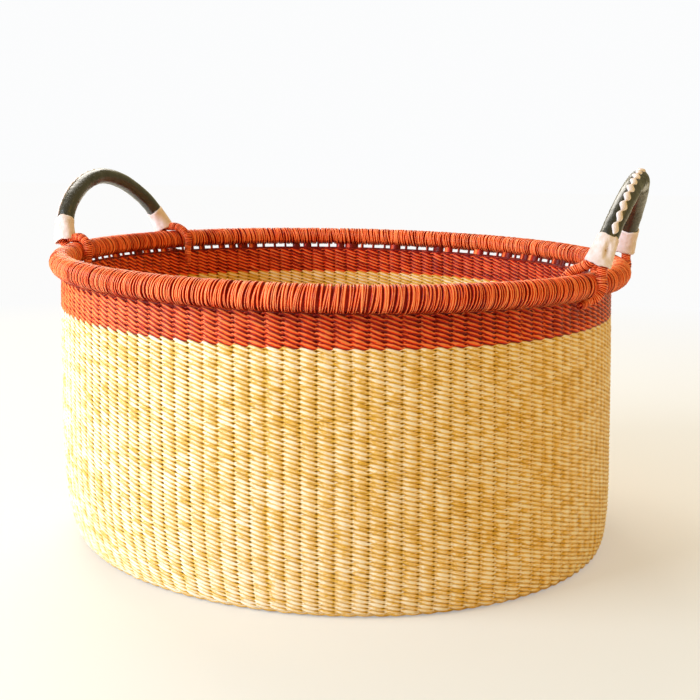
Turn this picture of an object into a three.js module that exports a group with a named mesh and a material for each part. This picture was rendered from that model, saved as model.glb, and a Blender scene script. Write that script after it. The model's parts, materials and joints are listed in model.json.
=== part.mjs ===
// Round grass hamper: a twined body with a dyed band, a wound rim roll that sits
// on a crown of bare stakes, and two arched carrying handles in stitched leather.
// Millimetres, +Z up. The origin is the middle of the underside. The handles
// stand at the two ends of the X axis, and the front of the hamper faces -Y.
import * as THREE from 'three';
import { mergeVertices } from 'three/addons/utils/BufferGeometryUtils.js';

const degree = Math.PI / 180;
const half = 0.5;

// Clearance kept between two pieces that touch on the real hamper
const seatGap = 0.3;

// Rim roll: a grass bundle wound all round with split straws
const rimDiameter = 500;
const rimHeight = 245;
const rollDiameter = 18.6;
const windingThickness = 2.3;
const windingRibs = 56;
const windingRibDepth = 0.7;

// Body. The roll overhangs the wall, and the wall swells from there down to the
// shoulder of its rounded bottom edge.
const rimOverhang = 10;
const middleSwell = 1.8;
const shoulderSwell = 2.5;
const shoulderHeight = 75;
const cornerWidth = 13.5;
const weaveThickness = 7;
const floorThickness = 6;
const floorEdgeWidth = 9;
const startKnotDiameter = 46;
const startKnotRise = 2.5;

// Columns of stitches, one over each stake, with a groove after each. They stand
// a little wider apart at the front and back of the hamper than at its sides.
// On the floor they run out from where their number has doubled for the last time.
const stakeCount = 126;
const columnSway = 0.52 * degree;
const widestColumnTurn = -67.1 * degree;
const wallGrooveDepth = 2.2;
const floorGrooveDepth = 1.8;
const floorColumnDiameter = 250;
const floorRimWidth = 3;

// Dyed band, the row that locks it and the bare stakes between it and the roll
const bandHeight = 22.4;
const lockingRowHeight = 1.6;
const bareStakeHeight = 2.8;
const stakeThickness = 3;
const stakeWidthShare = 0.3;
const slotClearance = 0.55;

// Handles: the middle line of each arch runs between two feet over the roll
const handleSpread = 162;
const handleRises = { right: 70.5, left: 66.5 };
const archPower = 1.8;
const handleLean = 18 * degree;
const handleBackset = 3.1 * degree;
const footInset = 1;
const footSink = 2.4;
const bundleDiameter = 11;
const sleeveThickness = 1.8;
const cuffThickness = 2.1;
const cuffHemThickness = 1.6;
const cuffFlare = 1.3;
const cuffLength = 21;
const cuffStart = 9;
const splitLength = 6.5;
const splitTaper = 4;

// Leather lace along each sleeve. It starts on the outer face by the cuffs and
// climbs towards the crest in the middle, more so on the right handle.
const laceWidth = 5.8;
const laceNeckWidth = 2.8;
const laceThickness = 1.3;
const laceScallops = 18;
const laceInset = 3;
const laceTurns = {
  right: { cuffs: 38 * degree, middle: 4 * degree },
  left: { cuffs: 42 * degree, middle: 34 * degree },
};

// Wound legs that straddle the roll under each foot
const legDiameter = 8;
const legTipDiameter = 5.4;
const legRibs = 10;
const legRibDepth = 0.5;
const innerTailLength = 16;
const innerTravel = 12;
const outerTailDrop = 4;
const outerTravel = 22;

// Facets
const bandSides = 64;
const columnsPerSide = 2;
const outerCornerSteps = 4;
const innerCornerSteps = 3;
const wallSteps = 2;
const bandSteps = 1;
const knotSides = 24;
const handleSides = 12;
const sleeveSteps = 18;
const legSides = 8;
const windingOuterPoints = 6;
const windingInnerPoints = 5;
const archSamples = 400;

// Roll
const rollRadius = rollDiameter * half;
const rollCentreRadius = rimDiameter * half - rollRadius;
const rollCentreHeight = rimHeight - rollRadius;
const windingInnerRadius = rollRadius - windingThickness;

// Wall, from the crown of stakes down to the floor
const topRadius = rimDiameter * half - rimOverhang;
const crownRadius = topRadius - weaveThickness * half;
const crownRowTop = rimHeight - rollDiameter - bareStakeHeight;
const crownBottomHeight = crownRowTop - lockingRowHeight;
const bandTopHeight = crownBottomHeight - seatGap;
const bandBottomHeight = bandTopHeight - bandHeight;
const wallTopHeight = bandBottomHeight - seatGap;
const shoulderRadius = topRadius + shoulderSwell;
const floorContactRadius = shoulderRadius - cornerWidth;
const floorDiscRadius = floorContactRadius - floorEdgeWidth;

// Handle and legs
const bundleRadius = bundleDiameter * half;
const boreRadius = bundleRadius + seatGap;
const sleeveRadius = boreRadius + sleeveThickness;
const cuffTopRadius = boreRadius + cuffThickness;
const legRadius = legDiameter * half;
const legSpacing = legRadius + seatGap * half;
const mouthRadius = (legSpacing + legRadius + seatGap) / Math.cos(Math.PI / handleSides);
const hemBoreRadius = mouthRadius + cuffFlare;
const cuffHemRadius = hemBoreRadius + cuffHemThickness;

// Direction in which the stakes leave the roll, measured in the upright plane
// through the axis, with zero pointing away from the axis
const slotAngle = Math.atan2(crownRowTop - rollCentreHeight, crownRadius - rollCentreRadius);
const slotHalfAngle = Math.asin((stakeThickness * half + slotClearance) / windingInnerRadius);

const finishes = {
  straw: { color: 0xe2c48a, roughness: 0.72, metalness: 0 },
  dyedStraw: { color: 0xc24a1c, roughness: 0.6, metalness: 0 },
  bundle: { color: 0xb98f4e, roughness: 0.85, metalness: 0 },
  blackLeather: { color: 0x24211c, roughness: 0.42, metalness: 0 },
  creamLeather: { color: 0xeedcc4, roughness: 0.55, metalness: 0 },
};

// Point in the upright plane at a given turn round the axis of the hamper
function atTurn(turn, radius, height) {
  return new THREE.Vector3(radius * Math.cos(turn), radius * Math.sin(turn), height);
}

function evenSteps(from, to, count) {
  return Array.from({ length: count + 1 }, (_, i) => from + (to - from) * (i / count));
}

// Signed volume of a closed triangle mesh
function signedVolume(geometry) {
  const place = geometry.getAttribute('position');
  const index = geometry.getIndex();
  const corners = [new THREE.Vector3(), new THREE.Vector3(), new THREE.Vector3()];
  let total = 0;
  for (let i = 0; i < index.count; i += 3) {
    corners.forEach((corner, k) => corner.fromBufferAttribute(place, index.getX(i + k)));
    total += corners[0].dot(corners[1].clone().cross(corners[2]));
  }
  return total / 6;
}

// Welds shared corners and turns the faces outwards
function closedBody(geometry) {
  geometry.deleteAttribute('normal');
  geometry.deleteAttribute('uv');
  const welded = mergeVertices(geometry);
  if (signedVolume(welded) < 0) {
    const index = welded.getIndex();
    for (let i = 0; i < index.count; i += 3) {
      const first = index.getX(i);
      index.setX(i, index.getX(i + 1));
      index.setX(i + 1, first);
    }
  }
  welded.computeVertexNormals();
  return welded;
}

function bodyFromFaces(points, triangles) {
  const geometry = new THREE.BufferGeometry();
  geometry.setAttribute(
    'position',
    new THREE.Float32BufferAttribute(points.flatMap((p) => [p.x, p.y, p.z]), 3),
  );
  geometry.setIndex(triangles);
  return closedBody(geometry);
}

// Skin through a row of rings that have the same number of points. A row that
// joins its own start needs no caps, and any other row gets a flat cap each end.
function skinRings(rings, joinsStart) {
  const count = rings[0].length;
  const triangles = [];
  const spans = joinsStart ? rings.length : rings.length - 1;
  for (let row = 0; row < spans; row += 1) {
    const here = row * count;
    const next = ((row + 1) % rings.length) * count;
    for (let k = 0; k < count; k += 1) {
      const after = (k + 1) % count;
      triangles.push(here + k, here + after, next + after);
      triangles.push(here + k, next + after, next + k);
    }
  }
  if (!joinsStart) {
    const last = (rings.length - 1) * count;
    for (let k = 1; k < count - 1; k += 1) {
      triangles.push(0, k + 1, k);
      triangles.push(last, last + k, last + k + 1);
    }
  }
  return bodyFromFaces(rings.flat(), triangles);
}

// Skin of a ring-shaped body through rings whose number of points may differ.
// Two rings are joined by walking round both, and the last joins the first.
function skinLoops(rings) {
  const triangles = [];
  let start = 0;
  rings.forEach((ring, row) => {
    const isLast = row === rings.length - 1;
    const after = isLast ? rings[0] : rings[row + 1];
    const afterStart = isLast ? 0 : start + ring.length;
    let i = 0;
    let j = 0;
    while (i < ring.length || j < after.length) {
      const here = start + (i % ring.length);
      const there = afterStart + (j % after.length);
      const stepsHere = (2 * i + 1) * after.length <= (2 * j + 1) * ring.length;
      i += stepsHere ? 1 : 0;
      j += stepsHere ? 0 : 1;
      const third = stepsHere ? start + (i % ring.length) : afterStart + (j % after.length);
      triangles.push(here, third, there);
    }
    start += ring.length;
  });
  return bodyFromFaces(rings.flat(), triangles);
}

// Body of revolution from a closed outline of [radius, height] pairs
function revolve(outline, sides) {
  const profile = [...outline, outline[0]].map(([radius, height]) => (
    new THREE.Vector2(radius, height)
  ));
  const geometry = new THREE.LatheGeometry(profile, sides);
  geometry.rotateX(Math.PI * half);
  return closedBody(geometry);
}

// Outer radius of the weave above the shoulder: one smooth curve through the
// shoulder, the middle and the top
function wallRadius(height) {
  const share = (height - shoulderHeight) / (bandTopHeight - shoulderHeight);
  const atShoulder = (1 - share) * (1 - 2 * share) * shoulderRadius;
  const atMiddle = 4 * share * (1 - share) * (topRadius + middleSwell);
  const atTop = share * (2 * share - 1) * topRadius;
  return atShoulder + atMiddle + atTop;
}

// Rounded bottom edge as a quarter ellipse, from the floor up to the shoulder
function cornerPoints(inset, rise, steps) {
  return evenSteps(0, Math.PI * half, steps).map((turn) => [
    floorContactRadius - inset + cornerWidth * Math.sin(turn),
    rise + (shoulderHeight - rise) * (1 - Math.cos(turn)),
  ]);
}

function wallPoints(from, to, inset, steps) {
  return evenSteps(from, to, steps).map((height) => [wallRadius(height) - inset, height]);
}

// Turn round the axis at which the middle of a column stands
function columnTurn(column) {
  const turn = (column / stakeCount) * 2 * Math.PI;
  return turn + columnSway * Math.sin(2 * (turn - widestColumnTurn));
}

// Ring with a point on every column and one in the groove after it, where the
// surface lies further in and further down
function columnRing(radius, height, grooveIn, grooveDown) {
  return Array.from({ length: 2 * stakeCount }, (_, i) => {
    const inGroove = i % 2;
    const place = [radius - inGroove * grooveIn, height - inGroove * grooveDown];
    return atTurn(columnTurn(i * half), ...place);
  });
}

function plainRing(radius, height) {
  const sides = Math.round(stakeCount / columnsPerSide);
  return evenSteps(0, 2 * Math.PI, sides).slice(1).map((turn) => atTurn(turn, radius, height));
}

function makeStartKnot() {
  const edge = startKnotDiameter * half;
  const crown = floorThickness + startKnotRise;
  const outline = [[0, 0], [edge, 0], [edge, floorThickness], [edge * half, crown], [0, crown]];
  const profile = outline.map(([radius, height]) => new THREE.Vector2(radius, height));
  const geometry = new THREE.LatheGeometry(profile, knotSides);
  geometry.rotateX(Math.PI * half);
  return closedBody(geometry);
}

// Flat floor with its columns on the upper side. They fade towards the start knot.
function makeFloor() {
  const inner = startKnotDiameter * half + seatGap;
  return skinLoops([
    plainRing(inner, 0),
    plainRing(floorDiscRadius, 0),
    plainRing(floorDiscRadius, floorThickness),
    columnRing(floorDiscRadius - floorRimWidth, floorThickness, 0, floorGrooveDepth),
    columnRing(floorColumnDiameter * half, floorThickness, 0, floorGrooveDepth),
    plainRing(inner, floorThickness),
  ]);
}

// Natural wall with its columns on the outside, plain inside
function makeNaturalWall() {
  const inner = floorDiscRadius + seatGap;
  const [contact, ...corner] = cornerPoints(0, 0, outerCornerSteps);
  const outside = wallPoints(shoulderHeight, wallTopHeight, 0, wallSteps).slice(1);
  const columns = [...corner, ...outside].map(([radius, height]) => (
    columnRing(radius, height, wallGrooveDepth, 0)
  ));
  const inside = [
    ...wallPoints(wallTopHeight, shoulderHeight, weaveThickness, wallSteps).slice(0, -1),
    ...cornerPoints(weaveThickness, floorThickness, innerCornerSteps).reverse(),
    [inner, floorThickness],
  ];
  return skinLoops([
    plainRing(inner, 0),
    plainRing(...contact),
    ...columns,
    ...inside.map((place) => plainRing(...place)),
  ]);
}

function makeDyedBand() {
  const outline = [
    ...wallPoints(bandBottomHeight, bandTopHeight, 0, bandSteps),
    ...wallPoints(bandTopHeight, bandBottomHeight, weaveThickness, bandSteps),
  ];
  return revolve(outline, bandSides);
}

// Crown of stakes: a locking row on top of the band from which every stake
// rises bare and leans out into the slot of the winding
function makeStakeCrown() {
  const reach = (windingInnerRadius - seatGap) * Math.cos(slotHalfAngle) + seatGap;
  const tipRadius = rollCentreRadius + reach * Math.cos(slotAngle);
  const tipHeight = rollCentreHeight + reach * Math.sin(slotAngle);
  const halfDepth = stakeThickness * half;
  const tipOut = -halfDepth * Math.sin(slotAngle);
  const tipUp = halfDepth * Math.cos(slotAngle);
  const levels = {
    bottom: (side) => [crownRadius + side * halfDepth, crownBottomHeight],
    row: (side) => [crownRadius + side * halfDepth, crownRowTop],
    tip: (side) => [tipRadius + side * tipOut, tipHeight + side * tipUp],
  };
  const points = [];
  const triangles = [];
  const quad = (a, b, c, d) => triangles.push(a, b, c, a, c, d);
  for (let stake = 0; stake < stakeCount; stake += 1) {
    [-half, half].map((side) => columnTurn(stake + side * stakeWidthShare)).forEach((turn) => {
      [levels.bottom, levels.row, levels.tip].forEach((level) => {
        [-1, 1].forEach((side) => points.push(atTurn(turn, ...level(side))));
      });
    });
  }
  // Corners of one edge of a stake: in and out at the bottom, row and tip
  const edge = (number) => {
    const base = (number % (2 * stakeCount)) * 6;
    return {
      inBottom: base,
      outBottom: base + 1,
      inRow: base + 2,
      outRow: base + 3,
      inTip: base + 4,
      outTip: base + 5,
    };
  };
  for (let stake = 0; stake < stakeCount; stake += 1) {
    const a = edge(2 * stake);
    const b = edge(2 * stake + 1);
    const c = edge(2 * stake + 2);
    [[a, b], [b, c]].forEach(([from, to]) => {
      quad(from.outBottom, to.outBottom, to.outRow, from.outRow);
      quad(to.inBottom, from.inBottom, from.inRow, to.inRow);
      quad(from.inBottom, to.inBottom, to.outBottom, from.outBottom);
    });
    quad(b.inRow, b.outRow, c.outRow, c.inRow);
    quad(a.outRow, b.outRow, b.outTip, a.outTip);
    quad(b.inRow, a.inRow, a.inTip, b.inTip);
    quad(a.inRow, a.outRow, a.outTip, a.inTip);
    quad(b.outRow, b.inRow, b.inTip, b.outTip);
    quad(a.inTip, a.outTip, b.outTip, b.inTip);
  }
  return bodyFromFaces(points, triangles);
}

// Turns round the middle of the roll at which its section has corners. They
// start and end at the edges of the slot that lets the stakes in.
function rollTurns(count) {
  const from = slotAngle + slotHalfAngle;
  const to = slotAngle + 2 * Math.PI - slotHalfAngle;
  return evenSteps(from, to, count);
}

function rollPoint(turn, radius, angle) {
  const out = rollCentreRadius + radius * Math.cos(angle);
  return atTurn(turn, out, rollCentreHeight + radius * Math.sin(angle));
}

// Grass bundle inside the winding, with its corners behind the winding's own
function makeRollBundle() {
  const radius = windingInnerRadius - seatGap;
  const turns = rollTurns(windingInnerPoints);
  const rings = Array.from({ length: windingRibs }, (_, i) => {
    const turn = (i / windingRibs) * 2 * Math.PI;
    return turns.map((angle) => rollPoint(turn, radius, angle));
  });
  return skinRings(rings, true);
}

// Winding of the roll: a skin open along the stakes, with rounded ribs. A groove
// lies on the straight line between its two ribs, as the bundle's own faces do.
function makeRollWinding() {
  const grooveShare = Math.cos(Math.PI / windingRibs);
  const rings = [];
  for (let i = 0; i < 2 * windingRibs; i += 1) {
    const turn = (i / (2 * windingRibs)) * 2 * Math.PI;
    const radius = rollRadius - (i % 2) * windingRibDepth;
    const outer = rollTurns(windingOuterPoints).map((angle) => rollPoint(turn, radius, angle));
    const inner = rollTurns(windingInnerPoints)
      .map((angle) => rollPoint(turn, windingInnerRadius, angle));
    const chordShare = i % 2 ? grooveShare : 1;
    const flatten = new THREE.Vector3(chordShare, chordShare, 1);
    rings.push([...outer, ...inner.reverse()].map((place) => place.multiply(flatten)));
  }
  return skinRings(rings, true);
}

// Middle line of a handle, a leaning arch that stands on the foot circle
class ArchLine extends THREE.Curve {
  constructor(azimuth, height) {
    super();
    this.arcLengthDivisions = archSamples;
    this.height = height;
    this.out = new THREE.Vector3(Math.cos(azimuth), Math.sin(azimuth), 0);
    this.along = new THREE.Vector3(-Math.sin(azimuth), Math.cos(azimuth), 0);
    this.rise = new THREE.Vector3(0, 0, Math.cos(handleLean))
      .addScaledVector(this.out, Math.sin(handleLean));
    this.face = new THREE.Vector3().crossVectors(this.along, this.rise);
    const footRadius = rimDiameter * half - footInset;
    const reach = Math.sqrt(footRadius ** 2 - (handleSpread * half) ** 2);
    this.base = this.out.clone().multiplyScalar(reach);
    this.base.z = rimHeight - footSink;
  }

  getPoint(share, target = new THREE.Vector3()) {
    const turn = Math.PI * share;
    const across = -Math.cos(turn);
    const spread = Math.sign(across) * Math.abs(across) ** (2 / archPower);
    const climb = Math.abs(Math.sin(turn)) ** (2 / archPower);
    return target.copy(this.base)
      .addScaledVector(this.along, spread * handleSpread * half)
      .addScaledVector(this.rise, climb * this.height);
  }

  // Place, direction and the two directions square to it, at a length from the
  // first foot. crest points away from the loop and face to the outside.
  station(length) {
    const share = length / this.getLength();
    const place = this.getPointAt(share);
    const ahead = this.getTangentAt(share);
    const crest = new THREE.Vector3().crossVectors(this.face, ahead);
    return { place, ahead, crest, face: this.face };
  }
}

function roundRing(station, radius, sides) {
  return Array.from({ length: sides }, (_, k) => {
    const turn = (k / sides) * 2 * Math.PI;
    return station.place.clone()
      .addScaledVector(station.crest, radius * Math.cos(turn))
      .addScaledVector(station.face, radius * Math.sin(turn));
  });
}

// Tube with a bore along a handle: out along its outside, back along its bore
function makeHollow(stations, outerRadii, boreRadii) {
  const outside = stations.map((s, i) => roundRing(s, outerRadii[i], handleSides));
  const inside = stations.map((s, i) => roundRing(s, boreRadii[i], handleSides));
  return skinRings([...outside, ...inside.reverse()], true);
}

function makeBundle(stations) {
  return skinRings(stations.map((s) => roundRing(s, bundleRadius, handleSides)), false);
}

// Scalloped lace: a flat strip on the sleeve, turned from the crest to the face
function makeLace(arch, turns, from, to) {
  const bed = sleeveRadius + seatGap;
  const steps = 2 * laceScallops;
  const rings = evenSteps(from, to, steps).map((length, i) => {
    const { place, crest, face } = arch.station(length);
    const climb = Math.sin((Math.PI * i) / steps);
    const turn = turns.cuffs + (turns.middle - turns.cuffs) * climb;
    const up = crest.clone().multiplyScalar(Math.cos(turn))
      .addScaledVector(face, Math.sin(turn));
    const aside = crest.clone().multiplyScalar(-Math.sin(turn))
      .addScaledVector(face, Math.cos(turn));
    const width = i % 2 ? laceWidth : laceNeckWidth;
    const corner = (side, lift) => place.clone()
      .addScaledVector(up, bed + lift)
      .addScaledVector(aside, side * width * half);
    return [corner(-1, 0), corner(1, 0), corner(1, laceThickness), corner(-1, laceThickness)];
  });
  return skinRings(rings, false);
}

// Route of a leg, given as [turn round the hamper, radius, height] sets that
// keep one leg radius and one gap clear of the roll and of the wall
const legOrbit = rollRadius + legRadius + seatGap;
const innerOrbitShares = [0.52, 0.65, 0.78, 0.91, 1.02];
const innerTravelShares = [0.35, 0.55, 0.74, 0.9, 0.98];
const outerOrbitShares = [0.13, 0, -0.13, -0.27, -0.4];
const outerTravelShares = [0, 0, 0.04, 0.16, 0.34];

function orbitPoints(start, travel, orbitShares, travelShares) {
  return orbitShares.map((share, i) => {
    const angle = share * Math.PI;
    const turn = start + (travel * travelShares[i]) / rollCentreRadius;
    return rollPoint(turn, legOrbit, angle);
  });
}

// Inner leg: over the roll, down its inside and along the inner face of the band
function innerLegRoute(footTurn, away) {
  const travel = innerTravel * away;
  const tailTurn = footTurn + travel / rollCentreRadius;
  const tailRadius = topRadius - weaveThickness - seatGap - legRadius;
  const tailTop = bandTopHeight + legDiameter * half;
  return [
    ...orbitPoints(footTurn, travel, innerOrbitShares, innerTravelShares),
    atTurn(tailTurn, tailRadius, tailTop),
    atTurn(tailTurn, tailRadius, tailTop - innerTailLength * half),
    atTurn(tailTurn, tailRadius, tailTop - innerTailLength),
  ];
}

// Outer leg: down the outside of the roll, then away along the wall beneath it
function outerLegRoute(footTurn, away) {
  const travel = outerTravel * away;
  const tailRadius = topRadius + seatGap + legRadius;
  const tailTop = rollCentreHeight - legOrbit;
  const tailShares = [0.5, 0.75, 1];
  return [
    ...orbitPoints(footTurn, travel, outerOrbitShares, outerTravelShares),
    ...tailShares.map((share) => {
      const turn = footTurn + (travel * share) / rollCentreRadius;
      return atTurn(turn, tailRadius, tailTop - outerTailDrop * share);
    }),
  ];
}

// Leg: one ribbed tube that starts beside its twin inside the cuff, where the
// grass bundle splits, and follows its route to a thinner tip
function makeLeg(arch, lengths, side, route) {
  const starts = lengths.map((length) => {
    const { place, face } = arch.station(length);
    return place.addScaledVector(face, side * legSpacing);
  });
  const line = new THREE.CatmullRomCurve3([...starts, ...route], false, 'centripetal');
  const steps = 2 * legRibs;
  const smoothSteps = Math.ceil((steps * splitLength) / line.getLength());
  const frames = line.computeFrenetFrames(steps, false);
  const rings = evenSteps(0, 1, steps).map((share, i) => {
    const swell = legRadius - (legRadius - legTipDiameter * half) * share ** 3;
    const groove = i > smoothSteps && i % 2 ? legRibDepth : 0;
    const frame = { place: line.getPointAt(share), crest: frames.normals[i], face: frames.binormals[i] };
    return roundRing(frame, swell - groove, legSides);
  });
  return skinRings(rings, false);
}

const hamper = new THREE.Group();

function addPiece(group, name, geometry, finish) {
  const mesh = new THREE.Mesh(geometry, new THREE.MeshStandardMaterial(finishes[finish]));
  mesh.name = name;
  group.add(mesh);
}

// Lengths along the arch, from either foot, at which a cuff changes its shape
const cuffLengths = [0, splitLength, splitLength + splitTaper, cuffLength];
const cuffBores = [hemBoreRadius, mouthRadius, boreRadius, boreRadius];
const cuffShares = [0, splitLength / cuffLength, (splitLength + splitTaper) / cuffLength, 1];
const cuffOuters = cuffShares.map((share) => (
  cuffHemRadius + (cuffTopRadius - cuffHemRadius) * share
));

function addFoot(group, arch, name, foot, away) {
  const total = arch.getLength();
  const fromFoot = (length) => (away < 0 ? cuffStart + length : total - cuffStart - length);
  const label = `${name}_${foot}`;
  const stations = cuffLengths.map((length) => arch.station(fromFoot(length)));
  addPiece(group, `${label}_cuff`, makeHollow(stations, cuffOuters, cuffBores), 'creamLeather');
  const legTop = splitLength - seatGap;
  const starts = [legTop, legTop * half, 0].map(fromFoot);
  const hem = arch.station(fromFoot(0)).place;
  const footTurn = Math.atan2(hem.y, hem.x);
  addPiece(group, `${label}_leg_outer`,
    makeLeg(arch, starts, 1, outerLegRoute(footTurn, away)), 'dyedStraw');
  addPiece(group, `${label}_leg_inner`,
    makeLeg(arch, starts, -1, innerLegRoute(footTurn, away)), 'dyedStraw');
}

function addHandle(name, azimuth) {
  const group = new THREE.Group();
  const arch = new ArchLine(azimuth, handleRises[name]);
  const total = arch.getLength();
  const bundleStart = cuffStart + splitLength;
  const sleeveStart = cuffStart + cuffLength + seatGap;
  const laceStart = sleeveStart + laceInset;
  const sleeve = evenSteps(sleeveStart, total - sleeveStart, sleeveSteps);
  const sleeveStations = sleeve.map((length) => arch.station(length));
  const bundle = [bundleStart, bundleStart + splitTaper, ...sleeve,
    total - bundleStart - splitTaper, total - bundleStart];
  addPiece(group, `${name}_handle_bundle`,
    makeBundle(bundle.map((length) => arch.station(length))), 'bundle');
  addPiece(group, `${name}_handle_sleeve`,
    makeHollow(sleeveStations, sleeve.map(() => sleeveRadius), sleeve.map(() => boreRadius)),
    'blackLeather');
  addPiece(group, `${name}_handle_lace`,
    makeLace(arch, laceTurns[name], laceStart, total - laceStart), 'creamLeather');

  // The arch runs towards +Y at the right handle and towards -Y at the left one
  const firstFoot = Math.cos(azimuth) > 0 ? 'front' : 'back';
  const secondFoot = firstFoot === 'front' ? 'back' : 'front';
  addFoot(group, arch, name, firstFoot, -1);
  addFoot(group, arch, name, secondFoot, 1);
  return group;
}

addPiece(hamper, 'floor_start_knot', makeStartKnot(), 'straw');
addPiece(hamper, 'floor_weave', makeFloor(), 'straw');
addPiece(hamper, 'wall_weave', makeNaturalWall(), 'straw');
addPiece(hamper, 'dyed_band', makeDyedBand(), 'dyedStraw');
addPiece(hamper, 'stake_crown', makeStakeCrown(), 'dyedStraw');
addPiece(hamper, 'rim_bundle', makeRollBundle(), 'bundle');
addPiece(hamper, 'rim_winding', makeRollWinding(), 'dyedStraw');
hamper.add(addHandle('right', handleBackset));
hamper.add(addHandle('left', Math.PI - handleBackset));

export default hamper;
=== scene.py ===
"""Looks of a round grass hamper with a dyed band, a wound rim and two leather-covered handles.

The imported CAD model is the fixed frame. Every soft or woven CAD solid is replaced here by its
real make-up: twined strands, stakes, wound straws and sewn leather. Units are metres.
"""

import json
import logging
import math
from dataclasses import dataclass, field
from enum import Enum
from functools import cache
from typing import Callable, Iterable, Mapping, Sequence, Union

import bpy
import numpy as np
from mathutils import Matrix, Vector

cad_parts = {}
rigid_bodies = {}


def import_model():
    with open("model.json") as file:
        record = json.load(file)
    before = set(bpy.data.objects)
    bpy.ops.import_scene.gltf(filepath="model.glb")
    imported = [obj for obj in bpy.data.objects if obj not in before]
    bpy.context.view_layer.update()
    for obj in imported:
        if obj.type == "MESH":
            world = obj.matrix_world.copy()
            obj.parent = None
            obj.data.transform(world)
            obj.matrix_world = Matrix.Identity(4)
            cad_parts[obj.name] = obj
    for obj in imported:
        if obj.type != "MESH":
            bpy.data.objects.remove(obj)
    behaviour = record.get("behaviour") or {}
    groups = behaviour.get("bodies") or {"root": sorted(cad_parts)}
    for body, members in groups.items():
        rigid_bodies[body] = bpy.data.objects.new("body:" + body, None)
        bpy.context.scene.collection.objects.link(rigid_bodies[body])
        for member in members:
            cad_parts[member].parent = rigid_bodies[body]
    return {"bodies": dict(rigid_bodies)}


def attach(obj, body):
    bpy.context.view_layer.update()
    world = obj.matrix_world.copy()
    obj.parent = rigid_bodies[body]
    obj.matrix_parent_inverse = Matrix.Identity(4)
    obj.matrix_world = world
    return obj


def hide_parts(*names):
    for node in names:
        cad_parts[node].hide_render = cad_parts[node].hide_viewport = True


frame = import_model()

log = logging.getLogger("hamper")

MM = 0.001
TURN = 2 * math.pi
DEGREE = math.pi / 180
BODY = next(iter(frame["bodies"]))

Number = Union["Value", float]
Colour = tuple[float, float, float]
Place = Sequence[float]

# Inputs of the node trees that are not plain numbers
WHOLE_NUMBERS = ("Stakes", "Steps", "Rows", "Turns", "Sides", "Lozenges")
SOCKET_KINDS = {**dict.fromkeys(WHOLE_NUMBERS, "Int"), "Face": "Vector", "Finish": "Material"}

# Points of a mesh that are nearer than this are made one, which closes the seams
MERGE_DISTANCE = 0.004 * MM
# Faces round a straw or a stake, and round the lace
STRAW_SIDES = 6
LACE_SIDES = 12


class Slot(Enum):
    """The record's material slots."""

    STRAW = "straw"
    DYED = "dyed_straw"
    BUNDLE = "bundle_grass"
    BLACK = "black_leather"
    CREAM = "cream_leather"


def operation(name: str, swapped: bool = False) -> Callable[..., "Value"]:
    """Makes a method that puts a value through one Math node.

    Args:
        name: the node's operation, such as "ADD".
        swapped: whether the value comes after the method's own number.

    Returns:
        The method.
    """
    def method(self: "Value", *others: Number) -> "Value":
        """The node's result."""
        return self.graph.math(name, *((*others, self) if swapped else (self, *others)))

    return method


class Value:
    """A number or vector in a node tree, with arithmetic that adds Math nodes."""

    __add__, __radd__ = operation("ADD"), operation("ADD", True)
    __sub__, __rsub__ = operation("SUBTRACT"), operation("SUBTRACT", True)
    __mul__, __rmul__ = operation("MULTIPLY"), operation("MULTIPLY", True)
    __truediv__ = operation("DIVIDE")
    sin, cos, arcsine = operation("SINE"), operation("COSINE"), operation("ARCSINE")
    floor, fract, abs = operation("FLOOR"), operation("FRACT"), operation("ABSOLUTE")
    power, below = operation("POWER"), operation("LESS_THAN")
    at_least, at_most = operation("MAXIMUM"), operation("MINIMUM")

    def __init__(self, graph: "Graph", socket: bpy.types.NodeSocket) -> None:
        """Keeps the output socket and the graph that it belongs to."""
        self.graph = graph
        self.socket = socket

    def vector(self, name: str, other: Union["Value", Place] = (0.0, 0.0, 0.0),
               key: str | int = 0) -> "Value":
        """One output of a Vector Math node on this vector and another."""
        node = self.graph.add("ShaderNodeVectorMath", {0: self, 1: other}, operation=name)
        return self.graph.out(node, key)

    def scaled(self, factor: Number) -> "Value":
        """This vector times a number."""
        node = self.graph.add("ShaderNodeVectorMath", {0: self, "Scale": factor}, operation="SCALE")
        return self.graph.out(node)

    def toward(self, other: "Value", turn: "Value") -> "Value":
        """The direction at a turn from this vector toward another that is square to it."""
        return self.scaled(turn.cos()).vector("ADD", other.scaled(turn.sin()))

    def parts(self) -> tuple["Value", "Value", "Value"]:
        """The three parts of this vector."""
        node = self.graph.add("ShaderNodeSeparateXYZ", {0: self})
        return tuple(Value(self.graph, out) for out in node.outputs)


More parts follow.
